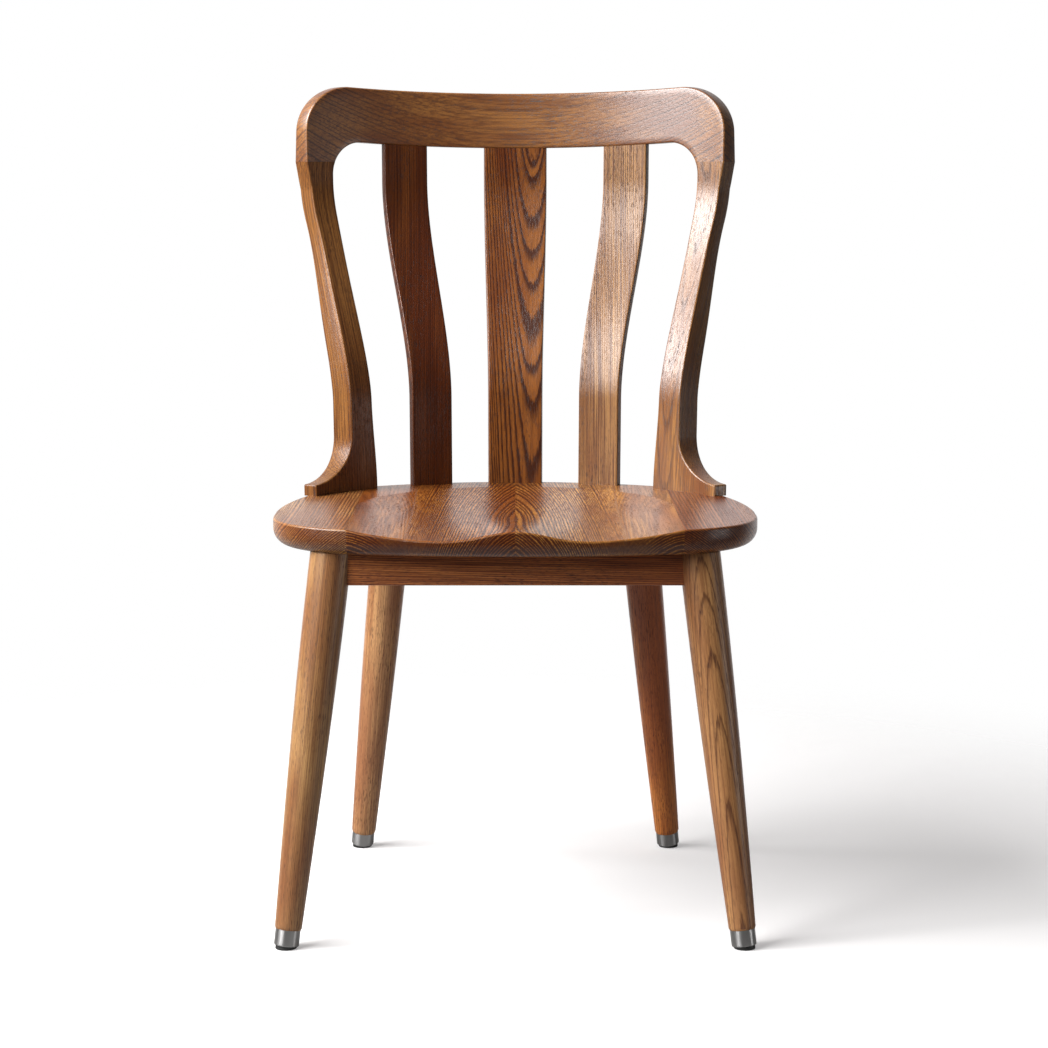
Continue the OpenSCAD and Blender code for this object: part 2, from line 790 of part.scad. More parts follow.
module leg_front_right() color(wood) leg_bored(false);
module leg_front_left() color(wood) mirror([1, 0, 0]) leg_bored(false);
module leg_rear_right() color(wood) leg_bored(true);
module leg_rear_left() color(wood) mirror([1, 0, 0]) leg_bored(true);

module ferrule_front_right() color(steel) ferrule(false);
module ferrule_front_left() color(steel) mirror([1, 0, 0]) ferrule(false);
module ferrule_rear_right() color(steel) ferrule(true);
module ferrule_rear_left() color(steel) mirror([1, 0, 0]) ferrule(true);

module glide_front_right() color(plastic) glide(false);
module glide_front_left() color(plastic) mirror([1, 0, 0]) glide(false);
module glide_rear_right() color(plastic) glide(true);
module glide_rear_left() color(plastic) mirror([1, 0, 0]) glide(true);

module crest_dowels() color(wood) crest_dowel_set(0, 0);
module apron_dowels() color(wood) both_sides() apron_dowel_set(0, 0);
module stile_screws() color(steel) stile_screw_set(0);
module block_screws() color(steel) both_sides() block_screw_set(0);
module seat_screws() color(steel) both_sides() seat_screw_set(0);
module glide_nails() {
    color(steel)
        both_sides() {
            nail(false, 0);
            nail(true, 0);
        }
}

seat_board_left();
seat_board_mid_left();
seat_board_mid_right();
seat_board_right();
crest_rail();
stile_left();
stile_right();
slat_left();
slat_centre();
slat_right();
apron_front();
apron_rear();
apron_left();
apron_right();
corner_block_front_left();
corner_block_front_right();
corner_block_rear_left();
corner_block_rear_right();
leg_front_left();
leg_front_right();
leg_rear_left();
leg_rear_right();
ferrule_front_left();
ferrule_front_right();
ferrule_rear_left();
ferrule_rear_right();
glide_front_left();
glide_front_right();
glide_rear_left();
glide_rear_right();
crest_dowels();
apron_dowels();
stile_screws();
block_screws();
seat_screws();
glide_nails();
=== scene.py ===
from math import atan2, cos, pi, radians, sin, sqrt

import bmesh
import bpy
import numpy as np
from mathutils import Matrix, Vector


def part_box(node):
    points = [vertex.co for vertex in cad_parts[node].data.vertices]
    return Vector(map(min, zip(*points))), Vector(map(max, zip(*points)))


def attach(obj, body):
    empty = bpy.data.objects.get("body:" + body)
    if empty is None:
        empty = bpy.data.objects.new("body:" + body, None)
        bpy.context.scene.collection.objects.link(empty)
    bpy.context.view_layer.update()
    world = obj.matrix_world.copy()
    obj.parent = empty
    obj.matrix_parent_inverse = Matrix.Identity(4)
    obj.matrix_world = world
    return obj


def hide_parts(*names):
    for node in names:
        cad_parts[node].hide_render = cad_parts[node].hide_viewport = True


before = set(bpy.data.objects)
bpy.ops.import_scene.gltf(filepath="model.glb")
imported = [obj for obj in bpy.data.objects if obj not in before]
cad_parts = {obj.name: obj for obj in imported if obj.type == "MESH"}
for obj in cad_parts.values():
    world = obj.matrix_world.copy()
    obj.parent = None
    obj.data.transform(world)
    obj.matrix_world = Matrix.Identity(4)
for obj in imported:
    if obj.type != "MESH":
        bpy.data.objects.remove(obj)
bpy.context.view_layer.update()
mm = 0.001
bothSides = ((-1, "left"), (1, "right"))
sharpAngle = radians(32)

# the chair is worked out in millimetres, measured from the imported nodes, and turned to metres at the end
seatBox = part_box("seat_board_right")
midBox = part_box("seat_board_mid_right")
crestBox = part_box("crest_rail")
frontY = midBox[0].y / mm
seatTop = seatBox[1].z / mm
seatUnder = seatBox[0].z / mm
chairTop = crestBox[1].z / mm


def ease(t):
    c = np.clip(t, 0.0, 1.0)
    return c * c * (3.0 - 2.0 * c)


def blend(a, b, t):
    return a + (b - a) * t


# short ways to add, set and link nodes
def addNode(tree, kind, label=None, **settings):
    node = tree.nodes.new(kind)
    if label:
        node.label = label
    for key, value in settings.items():
        setattr(node, key, value)
    return node


def plug(tree, source, target):
    if isinstance(source, bpy.types.NodeSocket):
        tree.links.new(source, target)
    else:
        target.default_value = source


def calc(tree, operation, a, b=None, clamp=False):
    node = addNode(tree, "ShaderNodeMath", operation=operation, use_clamp=clamp)
    plug(tree, a, node.inputs[0])
    if b is not None:
        plug(tree, b, node.inputs[1])
    return node.outputs[0]


def plus(tree, a, b):
    return calc(tree, "ADD", a, b)


def minus(tree, a, b):
    return calc(tree, "SUBTRACT", a, b)


def times(tree, a, b, clamp=False):
    return calc(tree, "MULTIPLY", a, b, clamp)


def between(tree, factor, low, high):
    return plus(tree, times(tree, factor, high - low), low)


def vectorCalc(tree, operation, a, b=None):
    node = addNode(tree, "ShaderNodeVectorMath", operation=operation)
    plug(tree, a, node.inputs[0])
    if b is not None:
        plug(tree, b, node.inputs["Scale"] if operation == "SCALE" else node.inputs[1])
    return node.outputs["Value" if operation == "LENGTH" else "Vector"]


# a smooth step while the value goes from low to high
def remap(tree, value, low, high, toLow=0.0, toHigh=1.0):
    node = addNode(tree, "ShaderNodeMapRange", interpolation_type="SMOOTHSTEP")
    ends = {"Value": value, "From Min": low, "From Max": high, "To Min": toLow, "To Max": toHigh}
    for name, entry in ends.items():
        plug(tree, entry, node.inputs[name])
    return node.outputs["Result"]


# stretch is in features per metre along X, Y and Z
def noise(tree, place, stretch, detail=2.0, roughness=0.5):
    scaled = vectorCalc(tree, "MULTIPLY", place, stretch)
    node = addNode(tree, "ShaderNodeTexNoise")
    tree.links.new(scaled, node.inputs["Vector"])
    node.inputs["Scale"].default_value = 1.0
    node.inputs["Detail"].default_value = detail
    node.inputs["Roughness"].default_value = roughness
    return node


def attributeOf(tree, name):
    return addNode(tree, "ShaderNodeAttribute", attribute_name=name).outputs["Fac"]


def mixColour(tree, factor, a, b):
    node = addNode(tree, "ShaderNodeMix", data_type="RGBA")
    plug(tree, factor, node.inputs["Factor"])
    first, second = [s for s in node.inputs if s.type == "RGBA"]
    plug(tree, a, first)
    plug(tree, b, second)
    return [s for s in node.outputs if s.type == "RGBA"][0]


def socketIn(tree, name, kind, value=None):
    socket = tree.interface.new_socket(name=name, in_out="INPUT", socket_type=kind)
    if value is not None:
        socket.default_value = value


def socketOut(tree, name, kind):
    tree.interface.new_socket(name=name, in_out="OUTPUT", socket_type=kind)


# what the two wood groups start from; sizes are in metres
woodColours = {
    "Light Wood": (0.36, 0.17, 0.075, 1),
    "Deep Wood": (0.24, 0.10, 0.04, 1),
    "Band Colour": (0.09, 0.03, 0.014, 1),
}
woodValues = {
    "Ring Width": 0.0024, "Crowding": 1.0, "Wander": 0.006, "Band Length": 0.6, "Contrast": 0.6,
    "Streaks": 0.6, "Pore Amount": 0.5, "Gloss Roughness": 0.3,
}
figureInputs = ("Ring Width", "Crowding", "Wander", "Band Length", "Pore Amount")

# the figure inside a log: each stretch is two counts across the grain and one along it
logLook = {
    "wanders": (((7.0, 7.0, 1.6), 1.0), ((45.0, 45.0, 6.0), 0.3), ((140.0, 140.0, 16.0), 0.07)),
    "evenAt": 0.1, "yearsPerMetre": 95.0, "yearSpread": 2.2, "fibre": (700.0, 700.0, 40.0), "ragged": 0.4,
    "bandRise": 0.12, "bandFall": 0.35, "endGrainLength": 0.2,
    "coarsePores": (760.0, 760.0, 120.0), "coarseRange": (0.56, 0.66),
    "finePores": (1500.0, 1500.0, 170.0), "fineRange": (0.56, 0.68), "fineShare": 0.6,
    "porePatches": (30.0, 30.0, 9.0), "patchRange": (0.35, 0.65, 0.4, 1.0), "poresBetweenBands": 0.55,
    "streak": (430.0, 430.0, 6.0), "tone": (18.0, 18.0, 3.2), "streakRelief": 0.25, "bandRelief": 0.25,
}


# the log isn't straight: its rings wander slowly, and a little faster close up
def wandered(tree, place, amount):
    moved = place
    for stretch, share in logLook["wanders"]:
        drift = vectorCalc(tree, "SUBTRACT", noise(tree, place, stretch).outputs["Color"], (0.5, 0.5, 0.5))
        drift = vectorCalc(tree, "SCALE", drift, times(tree, amount, share))
        moved = vectorCalc(tree, "ADD", moved, drift)
    return moved


# dark bands round the heart: they crowd together away from it, and years differ
def yearBands(tree, given):
    moved = wandered(tree, given["Place"], given["Wander"])
    reach = vectorCalc(tree, "LENGTH", vectorCalc(tree, "MULTIPLY", moved, (1.0, 1.0, 0.0)))
    grown = calc(tree, "POWER", calc(tree, "DIVIDE", reach, logLook["evenAt"]), given["Crowding"])
    spacing = times(tree, given["Ring Width"], given["Crowding"])
    count = calc(tree, "DIVIDE", times(tree, grown, logLook["evenAt"]), spacing)
    years = addNode(tree, "ShaderNodeTexNoise", noise_dimensions="1D")
    tree.links.new(times(tree, reach, logLook["yearsPerMetre"]), years.inputs["W"])
    years.inputs["Scale"].default_value = 1.0
    years.inputs["Detail"].default_value = 1.0
    rings = plus(tree, count, times(tree, years.outputs[0], logLook["yearSpread"]))
    # fibres make the edge of a band ragged
    fibre = noise(tree, given["Place"], logLook["fibre"], 2.0, 0.6)
    ragged = times(tree, minus(tree, fibre.outputs[0], 0.5), logLook["ragged"])
    phase = calc(tree, "FRACT", plus(tree, rings, ragged))
    endGrain = times(tree, attributeOf(tree, "endGrain"), logLook["endGrainLength"])
    length = plus(tree, given["Band Length"], endGrain)
    fall = remap(tree, phase, minus(tree, length, logLook["bandFall"]), length, 1.0, 0.0)
    return times(tree, remap(tree, phase, 0.0, logLook["bandRise"]), fall)


# open pores: dashes along the grain, a coarse set and a fine one, thickest in the dark bands
def openPores(tree, place, band, amount):
    coarse = remap(tree, noise(tree, place, logLook["coarsePores"], 1.0).outputs[0], *logLook["coarseRange"])
    fine = remap(tree, noise(tree, place, logLook["finePores"], 1.0).outputs[0], *logLook["fineRange"])
    patches = remap(tree, noise(tree, place, logLook["porePatches"], 2.0).outputs[0], *logLook["patchRange"])
    dashes = times(tree, calc(tree, "MAXIMUM", coarse, times(tree, fine, logLook["fineShare"])), patches)
    dashes = times(tree, dashes, between(tree, band, logLook["poresBetweenBands"], 1.0))
    return times(tree, dashes, amount, clamp=True)


# rings, pores and streaks of a log whose heart runs up its Z
def makeLogFigure():
    tree = bpy.data.node_groups.new("logFigure", "ShaderNodeTree")
    socketIn(tree, "Place", "NodeSocketVector")
    for name in figureInputs:
        socketIn(tree, name, "NodeSocketFloat", woodValues[name])
    outputs = ("Band", "Pores", "Streak", "Tone", "Height")
    for name in outputs:
        socketOut(tree, name, "NodeSocketFloat")
    given = addNode(tree, "NodeGroupInput").outputs
    band = yearBands(tree, given)
    pores = openPores(tree, given["Place"], band, given["Pore Amount"])
    streak = noise(tree, given["Place"], logLook["streak"], 3.0, 0.65).outputs[0]
    tone = noise(tree, given["Place"], logLook["tone"], 3.0, 0.6).outputs[0]
    hollow = plus(tree, pores, times(tree, band, logLook["bandRelief"]))
    height = minus(tree, times(tree, streak, logLook["streakRelief"]), hollow)
    out = addNode(tree, "NodeGroupOutput")
    for name, value in zip(outputs, (band, pores, streak, tone, height)):
        tree.links.new(value, out.inputs[name])
    return tree


stainLook = {
    "toneRange": (0.32, 0.68), "streakRange": (0.38, 0.66), "streakShade": 0.62,
    "endGrainContrast": 0.35, "calmContrast": 0.3, "soak": 0.12, "calmSoak": 0.7,
    "poreFill": 0.9, "poreShade": 0.5, "poreRoughness": 0.35, "streakRoughness": 0.1,
    "rubAndSheenPatches": (90.0, 90.0, 20.0), "rubAndSheenRange": (0.3, 0.7, 0.15, 0.55), "rubAndSheenLift": 1.3,
}


# stain over the figure: dark bands, filled pores, thirsty end grain and rubbed arrises, whose paler colour is
# also a painted highlight along the edges
def makeStainedWood(figureGroup):
    tree = bpy.data.node_groups.new("stainedWood", "ShaderNodeTree")
    socketIn(tree, "Place", "NodeSocketVector")
    for name, value in woodColours.items():
        socketIn(tree, name, "NodeSocketColor", value)
    for name, value in woodValues.items():
        socketIn(tree, name, "NodeSocketFloat", value)
    socketOut(tree, "Color", "NodeSocketColor")
    socketOut(tree, "Roughness", "NodeSocketFloat")
    socketOut(tree, "Height", "NodeSocketFloat")
    given = addNode(tree, "NodeGroupInput").outputs
    lightWood, deepWood, bandColour = given["Light Wood"], given["Deep Wood"], given["Band Colour"]
    group = addNode(tree, "ShaderNodeGroup", node_tree=figureGroup)
    for name in ("Place",) + figureInputs:
        tree.links.new(given[name], group.inputs[name])
    grain = group.outputs
    endGrain, calm = attributeOf(tree, "endGrain"), attributeOf(tree, "calm")
    toned = mixColour(tree, remap(tree, grain["Tone"], *stainLook["toneRange"]), lightWood, deepWood)
    lines = times(tree, remap(tree, grain["Streak"], *stainLook["streakRange"]), given["Streaks"])
    streaky = mixColour(tree, lines, toned, vectorCalc(tree, "SCALE", deepWood, stainLook["streakShade"]))
    strength = plus(tree, given["Contrast"], times(tree, endGrain, stainLook["endGrainContrast"]))
    strength = times(tree, strength, between(tree, calm, 1.0, stainLook["calmContrast"]))
    banded = mixColour(tree, times(tree, grain["Band"], strength, clamp=True), streaky, bandColour)
    soak = times(tree, endGrain, between(tree, calm, stainLook["soak"], stainLook["calmSoak"]))
    soaked = mixColour(tree, soak, banded, bandColour)
    poreColour = vectorCalc(tree, "SCALE", bandColour, stainLook["poreShade"])
    filled = mixColour(tree, times(tree, grain["Pores"], stainLook["poreFill"]), soaked, poreColour)
    # hands and cloths thin the stain on the arrises; the paler arrises also stand in for the lacquer's sheen,
    # a painted edge highlight
    patchy = noise(tree, given["Place"], stainLook["rubAndSheenPatches"], 2.0).outputs[0]
    rubAndSheen = times(tree, attributeOf(tree, "arris"), remap(tree, patchy, *stainLook["rubAndSheenRange"]))
    wornAndSheened = mixColour(tree, rubAndSheen, filled, vectorCalc(tree, "SCALE", lightWood, stainLook["rubAndSheenLift"]))
    # pores and streaks are duller than the lacquer between them
    dull = plus(tree, times(tree, grain["Pores"], stainLook["poreRoughness"]),
                times(tree, grain["Streak"], stainLook["streakRoughness"]))
    out = addNode(tree, "NodeGroupOutput")
    tree.links.new(wornAndSheened, out.inputs["Color"])
    tree.links.new(plus(tree, given["Gloss Roughness"], dull), out.inputs["Roughness"])
    tree.links.new(grain["Height"], out.inputs["Height"])
    return tree


stainedWood = makeStainedWood(makeLogFigure())


def newMaterial(name):
    material = bpy.data.materials.new(name)
    material.use_nodes = True
    material.node_tree.nodes.clear()
    return material, material.node_tree


def finishMaterial(tree, shader):
    out = addNode(tree, "ShaderNodeOutputMaterial")
    tree.links.new(shader.outputs[0], out.inputs["Surface"])


def addBump(tree, shader, height, strength, distance):
    bump = addNode(tree, "ShaderNodeBump")
    bump.inputs["Strength"].default_value = strength
    bump.inputs["Distance"].default_value = distance
    tree.links.new(height, bump.inputs["Height"])
    tree.links.new(bump.outputs["Normal"], shader.inputs["Normal"])


# pith is a point on the log's heart and along its direction; without them the piece's own log places are read
def woodMaterial(name, finish, pith=None, along=None):
    material, tree = newMaterial(name)
    if pith is None:
        own = addNode(tree, "ShaderNodeAttribute", "place in the log", attribute_name="logPlace")
        place = own.outputs["Vector"]
    else:
        coords = addNode(tree, "ShaderNodeTexCoord")
        mapping = addNode(tree, "ShaderNodeMapping", "log in the piece", vector_type="TEXTURE")
        mapping.inputs["Location"].default_value = pith
        mapping.inputs["Rotation"].default_value = Vector(along).to_track_quat("Z", "Y").to_euler()
        tree.links.new(coords.outputs["Object"], mapping.inputs["Vector"])
        place = mapping.outputs["Vector"]
    wood = addNode(tree, "ShaderNodeGroup", node_tree=stainedWood)
    tree.links.new(place, wood.inputs["Place"])
    for key, value in finish["wood"].items():
        wood.inputs[key].default_value = value
    shader = addNode(tree, "ShaderNodeBsdfPrincipled")
    tree.links.new(wood.outputs["Color"], shader.inputs["Base Color"])
    tree.links.new(wood.outputs["Roughness"], shader.inputs["Roughness"])
    shader.inputs["IOR"].default_value = finish["ior"]
    shader.inputs["Specular IOR Level"].default_value = finish["specular"]
    addBump(tree, shader, wood.outputs["Height"], finish["relief"], finish["grainDepth"])
    finishMaterial(tree, shader)
    return material


# a stain's colour as it is seen, turned to the linear value that a socket holds
def rgb(*colour):
    def linear(c):
        return c / 12.92 if c <= 0.04045 else ((c + 0.055) / 1.055) ** 2.4
    return tuple(linear(c / 255) for c in colour) + (1.0,)


socketOf = {
    "ring": "Ring Width", "crowding": "Crowding", "wander": "Wander", "length": "Band Length",
    "contrast": "Contrast", "streaks": "Streaks", "pores": "Pore Amount", "gloss": "Gloss Roughness",
    "light": "Light Wood", "deep": "Deep Wood", "band": "Band Colour",
}


# a finish like another one but for the values given
def vary(finish, **changes):
    varied = dict(finish, wood=dict(finish["wood"]))
    for key, value in changes.items():
        if key in socketOf:
            varied["wood"][socketOf[key]] = value
        else:
            varied[key] = value
    return varied


# a piece's colours times a share in red, green and blue: the stain it has taken up, together with painted
# light and shade for how the light falls on it
def stainedWithPaintedLight(finish, shares):
    wood = dict(finish["wood"])
    for key in woodColours:
        wood[key] = tuple(c * share for c, share in zip(wood[key], shares)) + (1.0,)
    return dict(finish, wood=wood)


lacquer = {
    "ior": 1.5, "specular": 0.45, "relief": 0.4, "grainDepth": 0.0004,
    "wood": {
        "Light Wood": rgb(180, 128, 76), "Deep Wood": rgb(134, 79, 43), "Band Colour": rgb(66, 29, 17),
        "Ring Width": 0.0024, "Crowding": 1.0, "Wander": 0.006, "Band Length": 0.62, "Contrast": 0.55,
        "Streaks": 0.6, "Pore Amount": 0.7, "Gloss Roughness": 0.29,
    },
}


# a plain mesh from points and faces; values are kept on its points
def meshObject(name, points, faces, material, values=None):
    mesh = bpy.data.meshes.new(name)
    mesh.from_pydata([tuple(p) for p in points], [], faces)
    for key, numbers in (values or {}).items():
        isVector = np.ndim(numbers) == 2
        layer = mesh.attributes.new(key, "FLOAT_VECTOR" if isVector else "FLOAT", "POINT")
        layer.data.foreach_set("vector" if isVector else "value", np.asarray(numbers, np.float32).ravel())
    mesh.polygons.foreach_set("use_smooth", [True] * len(mesh.polygons))
    mesh.set_sharp_from_angle(angle=sharpAngle)
    mesh.update()
    mesh.materials.append(material)
    thing = bpy.data.objects.new(name, mesh)
    bpy.context.scene.collection.objects.link(thing)
    return thing


# merges doubles and turns every face of a closed shell outward
def outward(thing):
    bm = bmesh.new()
    bm.from_mesh(thing.data)
    bmesh.ops.remove_doubles(bm, verts=bm.verts, dist=1e-6)
    bmesh.ops.recalc_face_normals(bm, faces=bm.faces)
    bm.to_mesh(thing.data)
    bm.free()
    thing.data.update()
    return thing


# a closed solid: its first and last layers are whole faces, those between are only borders
def shellOf(layers):
    rows, cols = layers[0].shape[:2]
    border = ([(0, j) for j in range(cols)] + [(i, cols - 1) for i in range(1, rows)]
              + [(rows - 1, j) for j in range(cols - 2, -1, -1)] + [(i, 0) for i in range(rows - 2, 0, -1)])
    points, faces, rims = [], [], []
    for k, layer in enumerate(layers):
        base = len(points)
        if k in (0, len(layers) - 1):
            points += list(layer.reshape(-1, layer.shape[-1]))
            spot = [[base + i * cols + j for j in range(cols)] for i in range(rows)]
            quads = [(spot[i][j], spot[i][j + 1], spot[i + 1][j + 1], spot[i + 1][j])
                     for i in range(rows - 1) for j in range(cols - 1)]
            faces += quads if k == 0 else [q[::-1] for q in quads]
            rims.append([spot[i][j] for i, j in border])
        else:
            points += [layer[i, j] for i, j in border]
            rims.append([base + n for n in range(len(border))])
    for low, high in zip(rims, rims[1:]):
        for n in range(len(border)):
            m = (n + 1) % len(border)
            faces.append((low[m], low[n], high[n], high[m]))
    return np.array(points), faces


# the seat: four glued boards, hollowed for sitting and rounded under their edge
seat = {
    "half": seatBox[1].x / mm + 0.3, "depth": 430.0, "midWidth": midBox[1].x / mm,
    "frontArc": 857.0, "cornerArc": 110.0, "sideArc": 480.0, "rearArc": 335.0, "rearCorner": 110.0,
    "sideMid": 150.0, "tipFlat": 0.3,
    "scoopDepth": 12.0, "scoopHalf": 175.0, "scoopMid": 197.0, "scoopRear": 185.0,
    "ridgeSpread": 46.0, "ridgeLength": 240.0, "arris": 2.4, "edgeIn": 16.5, "edgeUp": 17.0, "leastEdge": 0.2,
    "rowsMid": 70, "rowsOuter": 40, "cols": 150, "edgeCrowd": 0.012,
}

# each board's hearts: across from the centre, below the top, and how fast they sink toward the rear
seatLog = {
    "inner": (-30.0, 62.0, 0.065), "joint": (181.0, 70.0, 0.02), "outer": (126.0, 92.0, 0.012),
    "changeX": 114.0, "calmHalf": 30.0, "calmTopFrom": 84.0, "calmTopOver": 30.0,
    "rightAlong": 900.0, "outerAlong": 2000.0, "endGrainFrom": 0.45, "endGrainOver": 0.4, "wearAndSheen": 0.35,
}


# centre of a corner's round, r1 from (0, cy) and r2 from c2
def meet(cy, r1, c2, r2, up):
    d = sqrt(c2[0] ** 2 + (c2[1] - cy) ** 2)
    a = (r1 * r1 - r2 * r2 + d * d) / (2 * d)
    h = sqrt(r1 * r1 - a * a)
    ux, uy = c2[0] / d, (c2[1] - cy) / d
    return a * ux - up * h * uy, cy + a * uy + up * h * ux


sideCentre = (seat["half"] - seat["sideArc"], seat["sideMid"])
frontCorner = meet(seat["frontArc"], seat["frontArc"] - seat["cornerArc"],
                   sideCentre, seat["sideArc"] - seat["cornerArc"], 1)
rearCy = seat["depth"] - seat["rearArc"]
rearCorner = meet(rearCy, seat["rearArc"] - seat["rearCorner"],
                  sideCentre, seat["sideArc"] - seat["rearCorner"], -1)


# the front (-1) or rear (+1) edge of the seat at x, moved inward by d
def edgeOf(x, d, arc, arcCy, corner, cornerArc, sign):
    sideArc = seat["sideArc"]
    arcEnd = corner[0] * (arc - d) / (arc - cornerArc)
    cornerEnd = sideCentre[0] + (corner[0] - sideCentre[0]) * (sideArc - d) / (sideArc - cornerArc)

    def bow(radius, centre):
        return centre[1] + sign * np.sqrt(np.maximum(0, (radius - d) ** 2 - (x - centre[0]) ** 2))

    ends = np.where(x < cornerEnd, bow(cornerArc, corner), bow(sideArc, sideCentre))
    return np.where(x < arcEnd, bow(arc, (0, arcCy)), ends)


def frontEdge(x, d):
    return edgeOf(x, d, seat["frontArc"], seat["frontArc"], frontCorner, seat["cornerArc"], -1)


def rearEdge(x, d):
    return edgeOf(x, d, seat["rearArc"], rearCy, rearCorner, seat["rearCorner"], 1)


def scoop(x, y):
    back = np.maximum(0, y - seat["scoopMid"]) / seat["scoopRear"]
    reach = np.sqrt((x / seat["scoopHalf"]) ** 2 + back * back)
    dish = seat["scoopDepth"] * np.maximum(0, 1 - reach ** 3)
    ridge = np.exp(-(x / seat["ridgeSpread"]) ** 2) * (1 - ease(y / seat["ridgeLength"]))
    return dish * (1 - ridge)


def seatLayers(side, outer):
    x0 = seat["midWidth"] if outer else 0.0
    rows = seat["rowsOuter"] if outer else seat["rowsMid"]
    cols = seat["cols"]
    r = seat["arris"]
    share = np.arange(cols + 1) / cols
    share = share + seat["edgeCrowd"] * np.sin(2 * pi * share)  # closer together at both edges

    def plan(d):
        i = np.arange(rows + 1) / rows
        x = x0 + seat["midWidth"] * i
        if outer:
            x = x0 + (seat["half"] - d - seat["tipFlat"] - x0) * np.sin(i * pi / 2)
        y = blend(frontEdge(x, d)[:, None], rearEdge(x, d)[:, None], share[None, :])
        return np.repeat(x[:, None], cols + 1, 1), y

    def place(x, y, z):
        return np.stack([x * side, y + frontY, z], -1) * mm

    layers = []
    for a in (0, 18, 36, 54, 72, 90):
        x, y = plan(r * (1 - sin(radians(a))))
        layers.append(place(x, y, seatTop - scoop(x, y) - r * (1 - cos(radians(a)))))
    # the scoops leave less room for the lower round
    x, y = plan(0)
    room = np.minimum(seat["edgeUp"], seatTop - scoop(x, y) - r - seatUnder - seat["leastEdge"])
    for a in range(0, 91, 9):
        x, y = plan(seat["edgeIn"] * (1 - cos(radians(a))))
        layers.append(place(x, y, seatUnder + room * (1 - sin(radians(a)))))
    return layers


# each point's place in its board's log, and how calm the figure is there; the top's points come first
def seatGrain(points, side, outer, topCount):
    across, deep = abs(points[:, 0]) / mm, points[:, 1] / mm - frontY
    drop = np.minimum(points[:, 2] / mm, seatTop) - seatTop
    heartX, heartZ, tilt = seatLog["outer"]
    calm = np.zeros(len(points))
    if not outer:
        hearts = zip(seatLog["inner"], seatLog["joint"])
        heartX, heartZ, tilt = [np.where(across < seatLog["changeX"], i, j) for i, j in hearts]
        calm = np.exp(-((across - seatLog["changeX"]) / seatLog["calmHalf"]) ** 4)
        calm[:topCount] = ease((across[:topCount] - seatLog["calmTopFrom"]) / seatLog["calmTopOver"])
    along = deep + (seatLog["rightAlong"] if side > 0 else 0) + (seatLog["outerAlong"] if outer else 0)
    return np.stack([across - heartX, drop + heartZ + tilt * deep, along], -1) * mm, calm


def seatBoard(name, side, outer, material):
    layers = seatLayers(side, outer)
    rows, cols = layers[0].shape[:2]
    topCount, rim = rows * cols, 2 * (rows + cols - 2)
    points, faces = shellOf(layers)
    wornAndSheened = np.zeros(len(points))
    # the arris under the top is marked for paler colour: wear, and a painted edge highlight
    wornAndSheened[topCount + rim:topCount + 4 * rim] = seatLog["wearAndSheen"]
    place, calm = seatGrain(points, side, outer, topCount)
    values = {"arris": wornAndSheened, "logPlace": place, "calm": calm, "endGrain": np.zeros(len(points))}
    board = outward(meshObject(name, points, faces, material, values))
    normals = np.empty(len(board.data.vertices) * 3, np.float32)
    board.data.vertices.foreach_get("normal", normals)
    facing = abs(normals.reshape(-1, 3)[:, 1])
    endGrain = ease((facing - seatLog["endGrainFrom"]) / seatLog["endGrainOver"])
    board.data.attributes["endGrain"].data.foreach_set("value", endGrain.astype(np.float32))
    return board


# the back stands on a leaning shell that opens out toward the crest
back = {
    "axisY": frontY + 156.5, "radius": 260.0, "lean": 0.02, "sweep": 104.0, "sweepStart": seatTop + 100,
    "sweepHeight": 250.0, "jointZ": 812.0, "crestT": 24.0, "crestTopT": 18.0, "stileT": 32.0, "footT": 17.5,
    "slatT": 10.5,
}


def shellRadius(z):
    swept = back["sweep"] * ease((z - back["sweepStart"]) / back["sweepHeight"])
    return back["radius"] + back["lean"] * (z - seatTop) + swept


def onShell(angle, depth, z):
    r = shellRadius(z) + depth
    return np.stack([r * np.sin(angle), back["axisY"] + r * np.cos(angle), z], -1)


# the usual end of a geometry tree
def closeTree(tree, geometry, finish, outName):
    real = addNode(tree, "GeometryNodeRealizeInstances")
    tree.links.new(geometry, real.inputs[0])
    paint = addNode(tree, "GeometryNodeSetMaterial")
    tree.links.new(real.outputs[0], paint.inputs["Geometry"])
    tree.links.new(finish, paint.inputs["Material"])
    out = addNode(tree, "NodeGroupOutput")
    tree.links.new(paint.outputs[0], out.inputs[outName])


